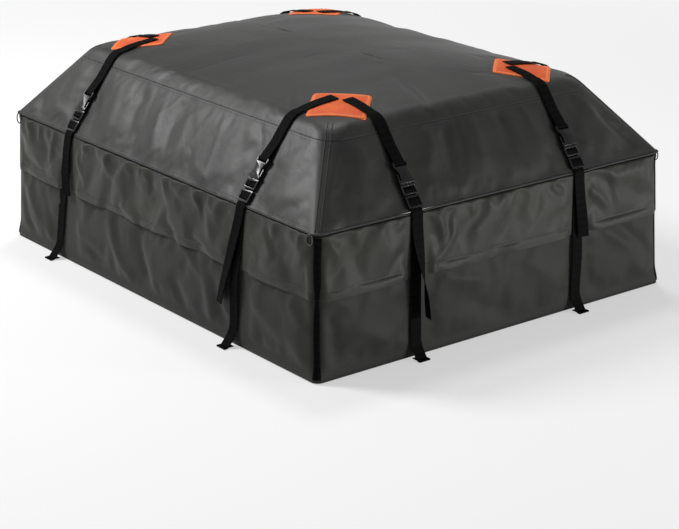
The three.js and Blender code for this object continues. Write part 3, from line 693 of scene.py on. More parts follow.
def coated_polyester(name, dark, mid, light, roughness, gloss):
    """Woven polyester with a rubbery coating on its face: charcoal, with a soft sheen that shows each fold,
    a faint thread grain, small crumples and slightly worn, paler patches. It has painted shade, nearly
    black, where it is pushed in at an upright corner."""
    material, tree, shader = start_material(name)
    place = {"Vector": node(tree, "TexCoord").outputs["Object"]}
    wide = {"Scale": 1 / (160 * MM), "Detail": 4.0, "Roughness": 0.6}
    cloud = node(tree, "TexNoise", wide, place).outputs["Fac"]
    fine = {"Scale": 1 / (5 * MM), "Detail": 3.0, "Roughness": 0.7}
    grain = node(tree, "TexNoise", fine, place).outputs["Fac"]
    crumpled = {"Scale": 1 / (42 * MM), "Detail": 2.0, "Distortion": 0.3}
    crumple = node(tree, "TexNoise", crumpled, place).outputs["Fac"]
    stops = [(0.32, dark), (0.5, mid), (0.7, light)]
    colour = node(tree, "ValToRGB", {"stops": stops}, {"Fac": cloud}).outputs["Color"]
    # Painted shade: the colour is mixed towards near black where the fabric is pushed in at an upright
    # corner.
    tucked = node(tree, "Attribute", {"attribute_name": "tucked"}).outputs["Fac"]
    shaded = node(tree, "Mix", {"data_type": "RGBA", 7: linear("030303")}, {0: tucked, 6: colour}).outputs[2]
    spread = {"From Min": 0.3, "From Max": 0.7, "To Min": roughness - 0.04, "To Max": roughness + 0.05}
    rough = node(tree, "MapRange", spread, {"Value": cloud}).outputs["Result"]
    # A crumple is a ridge where the noise passes its middle, so that it shows as a thin bent line.
    middle = node(tree, "Math", {"operation": "SUBTRACT", 1: 0.5}, {0: crumple}).outputs[0]
    ridge = node(tree, "Math", {"operation": "ABSOLUTE"}, {0: middle}).outputs[0]
    creased = {"Strength": 0.14, "Distance": 6 * MM, "invert": True}
    relief = node(tree, "Bump", creased, {"Height": ridge}).outputs[0]
    # Real threads are 0.8 mm apart, finer than a pixel, so a faint squared grain is drawn at 15 mm.
    threads = {"Height": weave_height(tree, 15.08), "Normal": relief}
    relief = node(tree, "Bump", {"Strength": 0.12, "Distance": 0.3 * MM}, threads).outputs[0]
    coat = {"Height": grain, "Normal": relief}
    relief = node(tree, "Bump", {"Strength": 0.25, "Distance": 0.5 * MM}, coat).outputs[0]
    gloss = {"Specular IOR Level": gloss, "Sheen Weight": 0.08, "Sheen Roughness": 0.5}
    set_shader(tree, shader, {"Base Color": shaded, "Roughness": rough, "Normal": relief}, gloss)
    return material


def orange_oxford():
    """Bright orange oxford cloth of the strap patches, with visible threads and a paler, double edge where
    it is folded under and stitched."""
    material, tree, shader = start_material("orange_oxford_cloth")
    place = {"Vector": node(tree, "TexCoord").outputs["Object"]}
    cloud = node(tree, "TexNoise", {"Scale": 1 / (30 * MM), "Detail": 3.0}, place).outputs["Fac"]
    stops = [(0.35, "D04C08"), (0.55, "DC580E"), (0.75, "E46416")]
    colour = node(tree, "ValToRGB", {"stops": stops}, {"Fac": cloud}).outputs["Color"]
    thread = {"Vector": node(tree, "UVMap", {"uv_map": "thread"}).outputs["UV"]}
    split = node(tree, "SeparateXYZ", None, thread).outputs
    fold = {"operation": "PINGPONG", 1: PATCH_SIDE / 2 * MM}
    across = node(tree, "Math", fold, {0: split["X"]}).outputs[0]
    along = node(tree, "Math", fold, {0: split["Y"]}).outputs[0]
    near = node(tree, "Math", {"operation": "MINIMUM"}, {0: across, 1: along}).outputs[0]
    edge = {"From Min": PATCH_HEM * MM, "From Max": (PATCH_HEM - 1.5) * MM, "To Min": 0.0, "To Max": 0.5}
    pale = node(tree, "MapRange", edge, {"Value": near}).outputs["Result"]
    mixed = node(tree, "Mix", {"data_type": "RGBA", 7: linear("F27C3C")}, {0: pale, 6: colour}).outputs[2]
    # Its threads are 1 mm apart. They are drawn at 10 mm, to show from a few metres away.
    woven = {"Height": weave_height(tree, 10.05)}
    relief = node(tree, "Bump", {"Strength": 0.4, "Distance": 0.3 * MM}, woven).outputs[0]
    set_shader(tree, shader, {"Base Color": mixed, "Normal": relief}, {"Roughness": 0.62})
    return material


def polyester_webbing():
    """Ribbed black polyester webbing: nearly matte, with cross ribs and a flat woven edge."""
    material, tree, shader = start_material("polyester_webbing")
    thread = {"Vector": node(tree, "UVMap", {"uv_map": "thread"}).outputs["UV"]}
    # Real ribs are 2 mm apart, too fine to show, so they are drawn coarser.
    across = {"bands_direction": "Y", "Scale": WAVE_PERIOD / (13.82 * MM)}
    ribs = node(tree, "TexWave", across, thread).outputs["Fac"]
    lengthways = {"bands_direction": "X", "Scale": WAVE_PERIOD / (18.85 * MM)}
    cords = node(tree, "TexWave", lengthways, thread).outputs["Fac"]
    stops = [(0.1, "020202"), (0.8, "060606")]
    colour = node(tree, "ValToRGB", {"stops": stops}, {"Fac": ribs}).outputs["Color"]
    relief = node(tree, "Bump", {"Strength": 0.5, "Distance": 0.5 * MM}, {"Height": ribs}).outputs[0]
    both = {"Height": cords, "Normal": relief}
    relief = node(tree, "Bump", {"Strength": 0.25, "Distance": 0.4 * MM}, both).outputs[0]
    matte = {"Roughness": 0.75, "Specular IOR Level": 0.06}
    set_shader(tree, shader, {"Base Color": colour, "Normal": relief}, matte)
    return material


def grained(name, dark, light, roughness, spacing, metallic=0.0, depth=0.1):
    """A moulded, spun or cast finish with a fine cloudy grain, its spacing in millimetres."""
    material, tree, shader = start_material(name)
    place = {"Vector": node(tree, "TexCoord").outputs["Object"]}
    grain = node(tree, "TexNoise", {"Scale": 1 / (spacing * MM), "Detail": 3.0}, place).outputs["Fac"]
    stops = [(0.35, dark), (0.65, light)]
    colour = node(tree, "ValToRGB", {"stops": stops}, {"Fac": grain}).outputs["Color"]
    spread = {"From Min": 0.3, "From Max": 0.7, "To Min": roughness - 0.05, "To Max": roughness + 0.06}
    rough = node(tree, "MapRange", spread, {"Value": grain}).outputs["Result"]
    relief = node(tree, "Bump", {"Strength": depth, "Distance": 0.2 * MM}, {"Height": grain}).outputs[0]
    links = {"Base Color": colour, "Roughness": rough, "Normal": relief}
    set_shader(tree, shader, links, {"Metallic": metallic})
    return material


def paint(piece, material):
    piece.data.materials.clear()
    piece.data.materials.append(material)


def finish(piece, material, slot, *nodes, body="bag"):
    """Gives a piece its material, the body that it rides on and the nodes that it replaces. Slot is not
    used.
    """
    paint(piece, material)
    if body:
        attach(piece, body)
    if nodes:
        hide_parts(*nodes)
    return piece


# Studio


def place_in_scene(name, data, place, way):
    """Puts a lamp or the camera in the scene, looking along a direction."""
    thing = bpy.data.objects.new(name, data)
    bpy.context.scene.collection.objects.link(thing)
    thing.location = place
    thing.rotation_euler = Vector(way).to_track_quat("-Z", "Y").to_euler()
    return thing


def stage(name, material):
    """Names the primitive that was just added, as a part of the studio."""
    piece = bpy.context.object
    piece.name = name
    piece.data.materials.append(material)


def seen_rays(tree):
    """1 for the rays that show the background: the camera's, and those in gloss and glass."""
    path = node(tree, "LightPath").outputs
    seen = path["Is Camera Ray"]
    for other in ("Is Glossy Ray", "Is Transmission Ray"):
        seen = node(tree, "Math", {"operation": "MAXIMUM"}, {0: seen, 1: path[other]}).outputs[0]
    return seen


def glow_when_seen(tree, share, otherwise):
    """Ends a material in white light, to this share of it, and in another shader for the rest."""
    glow = node(tree, "Emission", {"Color": WHITE, "Strength": 1.0}).outputs[0]
    mix = node(tree, "MixShader", None, {0: share, 1: otherwise, 2: glow}).outputs[0]
    tree.links.new(mix, tree.nodes["Material Output"].inputs["Surface"])


def white_card():
    """Matte white card that keeps the shadow. It whitens with the distance, where there is none to keep."""
    material, tree, shader = start_material("white_card")
    matte = {"Base Color": linear("F6F6F6"), "Roughness": 0.9, "Specular IOR Level": 0.1}
    set_shader(tree, shader, {}, matte)
    place = node(tree, "TexCoord").outputs["Object"]
    away = node(tree, "VectorMath", {"operation": "LENGTH"}, {0: place}).outputs["Value"]
    level = {"From Min": GLOW_NEAR, "From Max": GLOW_FAR, "To Min": FLOOR_GLOW, "To Max": 1.0}
    white = node(tree, "MapRange", level, {"Value": away}).outputs["Result"]
    share = node(tree, "Math", {"operation": "MULTIPLY"}, {0: seen_rays(tree), 1: white}).outputs[0]
    glow_when_seen(tree, share, shader.outputs[0])
    return material


def pale_backdrop():
    """White where it is seen, and no brighter than the room in the light that it gives."""
    material, tree, shader = start_material("pale_backdrop")
    tree.nodes.remove(shader)
    room = node(tree, "Emission", {"Color": WHITE, "Strength": WORLD_LEVEL}).outputs[0]
    glow_when_seen(tree, seen_rays(tree), room)
    return material


def make_studio():
    """A white floor and backdrop, three soft lamps, the brightest at the back left, and the camera."""
    scene = bpy.context.scene
    scene.view_settings.view_transform = "Standard"
    lens = bpy.data.cameras.new("camera")
    lens.lens = CAMERA_LENS
    lens.sensor_width = CAMERA_SENSOR
    scene.camera = place_in_scene("camera", lens, CAMERA_PLACE, CAMERA_AIM)

    scene.world = bpy.data.worlds.new("pale_room")
    scene.world.use_nodes = True
    plain = scene.world.node_tree.nodes["Background"]
    plain.inputs["Color"].default_value = WHITE
    plain.inputs["Strength"].default_value = WORLD_LEVEL

    bpy.ops.object.select_all(action="DESELECT")
    bpy.ops.mesh.primitive_plane_add(size=FLOOR_SIDE, location=(0, 0, 0))
    stage("floor", white_card())
    bpy.ops.object.select_all(action="DESELECT")
    bpy.ops.mesh.primitive_cylinder_add(
        vertices=96,
        radius=BACKDROP_RADIUS,
        depth=BACKDROP_HEIGHT,
        end_fill_type="NOTHING",
        location=(0, 0, BACKDROP_HEIGHT / 2),
    )
    stage("backdrop", pale_backdrop())

    for name, (place, target, size, power) in LAMPS.items():
        light = bpy.data.lights.new(name, "AREA")
        light.shape = "DISK"
        light.size = size
        light.energy = power
        place_in_scene(name, light, place, Vector(target) - Vector(place))


# Fabric pieces


def paint_corner_shade(piece, shares):
    """Marks where shade is painted on the fabric at a corner, from 0 to 1 for each point."""
    marks = piece.data.attributes.new("tucked", "FLOAT", "POINT")
    marks.data.foreach_set("value", np.asarray(shares, np.float32).ravel())


# How far the fabric is pushed in at an upright corner. The same share sets the painted shade there.
def corner_tuck_and_shade(sheet):
    return np.exp(-((sheet.beside / TUCK_WIDTH) ** 4))


def finish_fabric(piece, material, slot, node_name):
    apply_modifier(piece, "SUBSURF", levels=1, render_levels=1)
    piece.data.shade_smooth()
    return finish(piece, material, slot, node_name)


def surface_of(piece):
    """A finished piece's surface, to lay seams and stitches on."""
    corners = [vertex.co.copy() for vertex in piece.data.vertices]
    return BVHTree.FromPolygons(corners, [tuple(polygon.vertices) for polygon in piece.data.polygons])


def make_tub(material):
    """The tub: flat base, rounded edge, folded walls and the recess behind the flap."""
    sheet = Sheet(wall_rows())
    height = sheet.points[:, :, 2]
    below_zip = 1 - smooth(height, TUB_TOP - 4, TUB_TOP + 1)
    clear = smooth(off_strap(sheet), 16, 42) * smooth(sheet.beside, 10, 34)
    free = clear * (smooth(height, 12, 42) * below_zip)
    folds = WALL_FOLDS + seeded_folds(SEED, 20, TUB_TOP - 10, 7)
    lift = fold_field(sheet, height, folds, WALL_FOLD_SHARES) + 1.6 * ripple(sheet.along, height, 130, SEED)
    lift += fold_field(sheet, height, gathers(SEED + 10, TUB_TOP, 90, 1.6, 46))
    corner = corner_tuck_and_shade(sheet) * smooth(height, 4, 40)
    sheet.raise_by(lift * free - TUCK_DEPTH * corner * below_zip)
    piece = sheet.make("bag_tub", [corners[::-1] for corners in middle_strip(sheet, 0)])
    # The mask that pushes the fabric in at the corners also paints shade there.
    paint_corner_shade(piece, corner)
    swell(piece, sheet, free, (-5, 5), 1.2, 0.012)
    finish_fabric(piece, material, "coated_fabric", "bag_body")
    return piece


def make_roof(material):
    """The roof: folded slopes, a soft ridge and a crown that is pulled down a little between the straps."""
    sheet = Sheet(roof_rows())
    up = np.broadcast_to(sheet.run[:, None], sheet.along.shape)
    x, y = sheet.points[:, :, 0], sheet.points[:, :, 1]
    top = smooth(up, SLOPE_LENGTH - 10, SLOPE_LENGTH + 30)
    clear = smooth(off_strap(sheet), 18, 46) * np.maximum(smooth(sheet.beside, 8, 44), top)
    patch = np.zeros(x.shape)
    reach = PATCH_SIDE / 2 * math.sqrt(2)
    for cx, cy in PATCH_PLACES.values():
        patch = np.maximum(patch, 1 - smooth(np.abs(x - cx) + np.abs(y - cy), reach + 4, reach + 34))
    clear = np.where(up > SLOPE_LENGTH + 110, 1, clear) * (1 - patch)
    free = clear * (smooth(up, 0, 16) * smooth(np.abs(up - TOP_SEAM_UP), 2, 16))
    folds = SLOPE_FOLDS + seeded_folds(SEED + 1, 12, 150, 5)
    fine = gathers(SEED + 11, 150, 125, 1.5, 40) + gathers(SEED + 12, -4, -44, 2.4, 34)
    lift = fold_field(sheet, up, folds, SLOPE_FOLD_SHARES) + fold_field(sheet, up, fine)
    lift *= 1 - top
    lift += 1.8 * ripple(x, y, 240, SEED + 2) * top + 1.2 * ripple(sheet.along, up, 150, SEED + 3)
    sheet.raise_by(lift * free)
    piece = sheet.make("bag_roof", after=middle_strip(sheet, len(sheet.points) - 1))
    calm = smooth(up, SLOPE_LENGTH - 30, SLOPE_LENGTH + 10).ravel()
    swell(piece, sheet, free, (-3.0 + 1.6 * calm, 3.4 - 2.0 * calm), 1.0, 0.004)
    finish_fabric(piece, material, "coated_fabric", "bag_body")
    return piece


# Storm flap, seams and patches


def make_flap(material):
    """The flap over the zip: gathered under the seam, pressed flat by the straps, with a turned hem."""
    hem = [0, 1.5, 6, 11, HEM_WIDTH - 2, HEM_WIDTH, HEM_WIDTH + 2, HEM_WIDTH + 7]
    upper = np.linspace(HEM_WIDTH + 14, FLAP_TOP - FLAP_BOTTOM, 12)
    heights = FLAP_BOTTOM + np.concatenate([hem, upper])
    sheet = Sheet([(wall_inset(z) - FLAP_STAND, z, math.pi / 2) for z in heights], FLAP_STEP)
    up = sheet.points[:, :, 2].copy()
    clear = smooth(off_strap(sheet), 15, 40) * smooth(sheet.beside, 9, 26)
    hung = 1 - smooth(up, FLAP_TOP - 9, FLAP_TOP - 1)
    low = 1 - smooth(up, FLAP_BOTTOM, FLAP_BOTTOM + 60)
    folds = FLAP_FOLDS + seeded_folds(SEED + 4, FLAP_BOTTOM + 15, FLAP_TOP - 5, 7)
    puckers = gathers(SEED + 13, FLAP_TOP + 14, 64, 8, 40, (6, 12))
    lift = fold_field(sheet, up, folds, FLAP_FOLD_SHARES) + fold_field(sheet, up, puckers)
    lift += 1.3 * ripple(sheet.along, up, 110, SEED + 5)
    lift += low * (FLAP_FLARE + 2.2 * ripple(sheet.along, 0 * up, 95, SEED + 6))
    lift += HEM_BULGE * bump(up, FLAP_BOTTOM + HEM_WIDTH / 2, 6)
    corner = corner_tuck_and_shade(sheet)
    sheet.raise_by(-TUCK_DEPTH * corner * (0.35 + 0.65 * hung))
    start = sheet.points.copy()
    sheet.raise_by(np.clip(lift, -2.4, 9) * clear * hung)
    sheet.points[:, :, 2] += 2.5 * ripple(sheet.along, 0 * up, 120, SEED + 7) * low * clear
    piece = sheet.make("flap")
    # The mask that pushes the fabric in at the corners also paints shade there.
    paint_corner_shade(piece, corner)
    deepest = np.where(up.ravel() < RECESS_BOTTOM + RECESS_EDGE, 0.0, -2.6)
    swell(piece, sheet, clear * hung, (deepest, 8), 0.4, 0.02, 1, start)
    sewn = 0.7 * bump(up, FLAP_BOTTOM + HEM_WIDTH, 1.8) * clear
    write_points(piece, read_points(piece) - (sheet.outward * sewn[:, :, None]).reshape(-1, 3))
    finish_fabric(piece, material, "flap_fabric", "storm_flap")
    apply_modifier(piece, "SOLIDIFY", thickness=FLAP_SHEET * MM, offset=0)
    return piece


def directions(points, closed):
    """The direction of a line at each of its points, by the neighbours."""
    if closed:
        way = np.roll(points, -1, axis=0) - np.roll(points, 1, axis=0)
    else:
        way = np.vstack([points[1:], points[-1:]]) - np.vstack([points[:1], points[:-1]])
    return way / np.linalg.norm(way, axis=1)[:, None]


def rod_faces(count, sides, closed=False):
    """Faces of a rod of so many rings, each with so many sides, capped where it doesn't close on itself."""
    faces = quads(count, sides, round_rows=closed)
    if not closed:
        faces.append(list(range(sides))[::-1])
        faces.append(list(range((count - 1) * sides, count * sides)))
    return faces


def tube(name, points, outward, radius, closed=True, sides=8):
    """A round piping along a line that lies on the fabric."""
    way = directions(points, closed)
    side = np.cross(way, outward)
    side /= np.linalg.norm(side, axis=1)[:, None]
    normal = np.cross(side, way)
    turns = np.arange(sides) * 2 * math.pi / sides
    rows = [points + radius * (math.cos(turn) * normal + math.sin(turn) * side) for turn in turns]
    verts = np.stack(rows, 1).reshape(-1, 3)
    count = len(points)
    thread = np.stack([np.tile(np.arange(sides) * radius, count), np.repeat(distances(points), sides)], -1)
    return make_mesh(name, verts, rod_faces(count, sides, closed), thread)


def laid_on(surface, points, outward, stand, reach=25):
    """A line moved along its outward directions onto a fabric's finished surface, and stood off it."""
    laid = []
    for point, way in zip(np.asarray(points, float), outward):
        hit = surface.ray_cast(Vector((point + reach * way) * MM), Vector(-way), 2 * reach * MM)[0]
        laid.append(point if hit is None else np.array(hit) / MM)
    return np.array(laid) + stand * np.asarray(outward)


def stitches(name, lines, pitch, length, width, height, material, slot):
    """Rows of stitches, each a small dash that is raised in its middle. Lines are (points, outward)."""
    verts, faces = [], []
    for points, outward in lines:
        run = distances(points)
        for place in np.arange(pitch / 2, run[-1] - pitch / 2, pitch):
            wanted = ((place - length / 2, points), (place + length / 2, points), (place, outward))
            first, last, normal = (
                np.array([np.interp(at, run, values[:, k]) for k in range(3)]) for at, values in wanted
            )
            side = np.cross(last - first, normal)
            side *= width / 2 / max(np.linalg.norm(side), 1e-9)
            low, high = -0.3 * normal, height * normal
            middle = (first + last) / 2
            base = len(verts)
            verts += [first + side + low, first - side + low, last - side + low, last + side + low]
            verts += [middle + 0.3 * (first - middle) + high, middle + 0.3 * (last - middle) + high]
            dash = ([1, 0, 4], [3, 2, 5], [0, 3, 5, 4], [2, 1, 4, 5], [0, 1, 2, 3])
            faces += [[base + corner for corner in face] for face in dash]
    return finish(make_mesh(name, verts, faces), material, slot)


def ring_line(inset, z, tilt, stand=0.0):
    """A closed line round the bag at an inset and height, and its outward directions."""
    points, outward = ring(inset, z, tilt)[1:]
    return points + stand * outward, outward


def corner_point(sx, sy, inset, z, tilt, offset):
    """A place beside the middle of a rounded corner, and the direction out from the fabric there."""
    radius = corner_radius(inset)
    turn = math.pi / 4 + offset / radius
    x = WIDTH / 2 - inset - radius + radius * math.sin(turn)
    y = LENGTH / 2 - inset - radius + radius * math.cos(turn)
    outward = (sx * math.sin(turn) * math.sin(tilt), sy * math.cos(turn) * math.sin(tilt), math.cos(tilt))
    return (sx * x, sy * y, z), outward


def hip_line(sx, sy, offset):
    """A line up the corner of the roof from the seam to the ridge, a little to one side of the corner."""
    places = []
    for inset in np.linspace(WALL_TAPER + 1, RIDGE_INSET + 6, 40):
        tilt = SLOPE_ANGLE if inset < RIDGE_INSET - 14 else SLOPE_ANGLE * 0.6
        places.append(corner_point(sx, sy, inset, float(roof_height(inset)), tilt, offset))
    points, outward = zip(*places)
    return np.array(points), np.array(outward)


def make_shade_binding_tapes(material, tub, flap):
    """Black tape over each upright corner, on the tub and on the flap: a dark sheet that stands in for the
    shade there.
    """
    offsets = np.linspace(-SHADE_BINDING_HALF, SHADE_BINDING_HALF, 9)
    spans = {"tub": (tub, BASE_EDGE_RADIUS, FLAP_BOTTOM + 5), "flap": (flap, FLAP_BOTTOM + 1, FLAP_TOP - 3)}
    for place, (surface, low, high) in spans.items():
        heights = np.linspace(low, high, round((high - low) / SHADE_BINDING_STEP))
        thread = np.stack(np.meshgrid(offsets + SHADE_BINDING_HALF, heights), -1).reshape(-1, 2)
        for corner, (sx, sy) in CORNERS.items():
            rows = []
            for z in heights:
                shift = SHADE_BINDING_WAVER * float(ripple(z, 90 * sx, 110, SEED + sy))
                spread = (1 - 0.4 * bump(z, FLAP_BOTTOM, 22)) * offsets + shift
                line = [corner_point(sx, sy, wall_inset(z), z, math.pi / 2, offset) for offset in spread]
                rows.append(laid_on(surface, *map(np.array, zip(*line)), SHADE_BINDING_STAND))
            faces = quads(len(rows), len(offsets), round_columns=False)
            if sx * sy > 0:
                faces = [face[::-1] for face in faces]
            piece = make_mesh(f"{place}_binding_{corner}", np.concatenate(rows), faces, thread)
            apply_modifier(piece, "SOLIDIFY", thickness=SHADE_BINDING_THICKNESS * MM, offset=1)
            finish(piece, material, "webbing")


def make_loops(material):
    """A small cord loop sewn in the seam beside each corner."""
    turn = np.arange(24) * 2 * math.pi / 24
    z = LOOP_MIDDLE + LOOP_HALF_HEIGHT * np.sin(turn)
    for corner, (sx, sy) in CORNERS.items():
        x = sx * (WIDTH / 2 - wall_inset(z) + LOOP_STAND)
        y = sy * (LENGTH / 2 - LOOP_PLACE + LOOP_HALF_WIDTH * np.cos(turn))
        outward = np.tile([float(sx), 0.0, 0.0], (len(turn), 1))
        loop = tube(f"seam_loop_{corner}", np.stack([x, y, z], -1), outward, LOOP_CORD)
        finish(loop, material, "webbing")


def make_seams(piping, thread, tub, roof, flap):
    """Piping round the seam, flat seams on the hips and below the ridge, and stitches beside them."""
    points, outward = ring_line(WALL_TAPER - 1.6, SEAM_HEIGHT - 1.5, math.pi / 2)
    points[:, 2] += 0.8 * ripple(points[:, 0], points[:, 1], 90, SEED + 9)
    # Each strap presses the piping in, and its slider passes there when the buckle is opened.
    off_slope = math.sin(SLOPE_ANGLE) * outward + (0, 0, math.cos(SLOPE_ANGLE))
    for strap in STRAPS:
        x, y = strap.face.plan(strap.along, strap.face.reach)
        beside = np.hypot(points[:, 0] - x, points[:, 1] - y)
        points -= PIPING_PRESS * (1 - smooth(beside, PRESS_HALF, 2 * PRESS_HALF))[:, None] * off_slope
    tubes = [("seam_piping", points, outward, 2.2, True)]
    turn = math.radians(50)
    edge = ring_line(8 - 8 * math.sin(turn), 8 - 8 * math.cos(turn), math.radians(115), 0.2)
    tubes.append(("base_piping", *edge, 1.3, True))
    inset = WALL_TAPER + TOP_SEAM_UP * math.cos(SLOPE_ANGLE)
    points, outward = ring_line(inset, float(roof_height(inset)), SLOPE_ANGLE)
    tubes.append(("top_seam", laid_on(roof, points, outward, 0.2), outward, 0.8, True))
    for corner, signs in CORNERS.items():
        for side, offset in (("a", -4.5), ("b", 4.5)):
            points, outward = hip_line(*signs, offset)
            points = laid_on(roof, points, outward, 0.1)
            tubes.append((f"hip_seam_{corner}_{side}", points, outward, 0.9, False))
    for sizes in tubes:
        finish(tube(*sizes), piping, "coated_fabric")
    rows = []
    for up in (6, TOP_SEAM_UP - 6):
        inset = WALL_TAPER + up * math.cos(SLOPE_ANGLE)
        rows.append((roof, inset, float(roof_height(inset)), SLOPE_ANGLE))
    rows.append((tub, wall_inset(BASE_STITCH_HEIGHT), BASE_STITCH_HEIGHT, math.pi / 2))
    inset = wall_inset(FLAP_BOTTOM) - FLAP_STAND
    rows += [(flap, inset, FLAP_BOTTOM + up, math.pi / 2) for up in FLAP_STITCH_UPS]
    lines = []
    for surface, *row in rows:
        points, outward = (np.vstack([part, part[:1]]) for part in ring_line(*row))
        lines.append((laid_on(surface, points, outward, 0.15), outward))
    stitches("seam_stitches", lines, 7.5, 4.6, 1.1, 0.5, thread, "coated_fabric")


def make_patch(label, material, thread):
    """A patch cut square, its edge folded under and stitched, lying on the roof under two strap ends."""
    cx, cy = PATCH_PLACES[label]
    half = PATCH_SIDE / 2
    steps = round(PATCH_SIDE / PATCH_STEP)
    u, v = np.meshgrid(*[np.linspace(-half, half, steps + 1)] * 2)
    pull = 1 - 0.035 * smooth(np.minimum(np.abs(u), np.abs(v)), half - 9, half)
    edge = np.maximum(np.abs(u), np.abs(v))
    x = cx + (u - v) * pull / math.sqrt(2)
    y = cy + (u + v) * pull / math.sqrt(2)
    top = PATCH_GAP + PATCH_THICKNESS - 0.1
    folded = 0.5 * smooth(edge, half - 9, half - 7.5)
    stitch = -0.5 * bump(edge, half - 4.5, 1.2)
    turned = -1.6 * smooth(edge, half - 1.5, half)
    z = roof_at(x, y) + top - 0.5 + folded + stitch + turned
    points = np.stack([x, y, z], -1).reshape(-1, 3)
    faces = quads(steps + 1, steps + 1, round_columns=False)
    weave = np.stack([u + half, v + half], -1).reshape(-1, 2)
    piece = make_mesh(f"strap_patch_{label}", points, faces, weave)
    apply_modifier(piece, "SOLIDIFY", thickness=0.9 * MM, offset=-1)
    piece.data.shade_smooth()
    finish(piece, material, "orange_fabric", f"patch_{label}")
    inner = half - PATCH_HEM / 2
    ends = [(-inner, -inner), (inner, -inner), (inner, inner), (-inner, inner), (-inner, -inner)]
    u, v = spaced(np.array(ends), 4).T
    x = cx + (u - v) * 0.985 / math.sqrt(2)
    y = cy + (u + v) * 0.985 / math.sqrt(2)
    outward = np.tile([0.0, 0.0, 1.0], (len(u), 1))
    points = laid_on(surface_of(piece), np.stack([x, y, roof_at(x, y) + top], -1), outward, 0.1)
    stitches(f"patch_stitches_{label}", [(points, outward)], 5.5, 3.6, 1, 0.5, thread, "orange_fabric")


# Straps. Paths are in a face's own frame: across the face, out from the middle and up


class Strap:
    """One strap of a face: its place, how it leans and hangs, and the names of its nodes."""

    def __init__(self, face, end, side, lean, tail, splay, twist, flutter):
        self.face = [one for one in FACES if one.name == face][0]
        self.label = f"{face}_{end}"
        self.along = side * self.face.strap_place
        self.lean, self.tail, self.splay, self.twist, self.flutter = lean, tail, splay, twist, flutter


STRAPS = [
    Strap("left", "rear", -1, -46, 122, 12, 8, 3),
    Strap("left", "front", 1, -20, 192, -44, -14, 5),
    Strap("front", "left", -1, -8, 192, 12, 72, 4),
    Strap("front", "right", 1, -8, 122, 8, -10, 4),
    Strap("right", "front", -1, 8, 145, -18, 16, 4),
    Strap("right", "rear", 1, 8, 122, 14, -12, 3),
    Strap("rear", "right", -1, 8, 145, 20, -18, 4),
    Strap("rear", "left", 1, -8, 145, -16, 20, 3),
]

# Buckle, with the sizes of its solids, and how its webbing runs through it.
GLIDE_START = 4
GLIDE_BAR = 3.5
GLIDE_SLOT = 5.5
GLIDE_MIDDLE = 5
GLIDE_BAR_HEIGHT = 2.4
PLUG_GAP = 3
PLUG_BAR = 3
PLUG_LOWER_SLOT = 5
PLUG_UPPER_SLOT = 4
PLUG_BASE = 5
PRONG_HEIGHT = 4.4
PRONG_CLEARANCE = 1.2
SOCKET_LENGTH = 42
SOCKET_BAR = 4
BAR_THICKNESS = 2.5
LAYERS_PART = 34
RETURN_START = 6
RETURN_END = 30

LAYER_PITCH = WEBBING_THICKNESS + SEAT_GAP
INNER_LAYER = SEAT_GAP + HALF_WEB
OUTER_LAYER = INNER_LAYER + LAYER_PITCH
GLIDE_END = GLIDE_START + 2 * GLIDE_BAR + 2 * GLIDE_SLOT + GLIDE_MIDDLE
PLUG_START = GLIDE_END + PLUG_GAP
MID_BAR_START = PLUG_START + PLUG_BAR + PLUG_LOWER_SLOT
MOUTH = MID_BAR_START + PLUG_BAR + PLUG_UPPER_SLOT + PLUG_BASE + CLEARANCE
SOCKET_END = MOUTH + SOCKET_LENGTH
MIDDLE_BAR_TOP = SEAT_GAP + CLEARANCE + GLIDE_BAR_HEIGHT - HALF_WEB
PRONG_FLOOR = INNER_LAYER + HALF_WEB + PRONG_CLEARANCE
SOCKET_MIDDLE = PRONG_FLOOR + PRONG_HEIGHT / 2
MID_BAR_FLOOR = INNER_LAYER + HALF_WEB + CLEARANCE


def on_slope(face, up, out):
    """(distance out from the middle, height) of a place up the slope and out from it."""
    run = math.cos(SLOPE_ANGLE) * up - math.sin(SLOPE_ANGLE) * out
    rise = math.sin(SLOPE_ANGLE) * up + math.cos(SLOPE_ANGLE) * out
    return face.reach - WALL_TAPER - run, SEAM_HEIGHT + rise


def on_wall(face, z, out):
    return face.reach - wall_inset(z) + out, z


def seam_turn(face, out, stand):
    inset = wall_inset(SEAM_HEIGHT - WELT_DROP) - stand
    up = (inset - WALL_TAPER + math.sin(SLOPE_ANGLE) * out) / math.cos(SLOPE_ANGLE)
    return on_slope(face, up, out)


def rounded(path, radius, steps=4):
    """The path with each corner turned in a short curve. Columns past the third are carried along."""
    path = np.asarray(path, float)
    result = [path[0]]
    for before, corner, after in zip(path[:-2], path[1:-1], path[2:]):
        back, ahead = np.linalg.norm(before - corner), np.linalg.norm(after - corner)
        reach = min(radius, 0.45 * back, 0.45 * ahead)
        first = corner + (before - corner) * reach / back
        last = corner + (after - corner) * reach / ahead
        for share in np.linspace(0, 1, steps):
            result.append((1 - share) ** 2 * first + 2 * share * (1 - share) * corner + share**2 * last)
    result.append(path[-1])
    return np.array(result)


def spaced(path, step):
    """The path with points added so that none are further apart than step."""
    result = [path[0]]
    for before, after in zip(path[:-1], path[1:]):
        count = max(1, math.ceil(np.linalg.norm((after - before)[:3]) / step))
        for share in np.arange(1, count + 1) / count:
            result.append(before + (after - before) * share)
    return np.array(result)


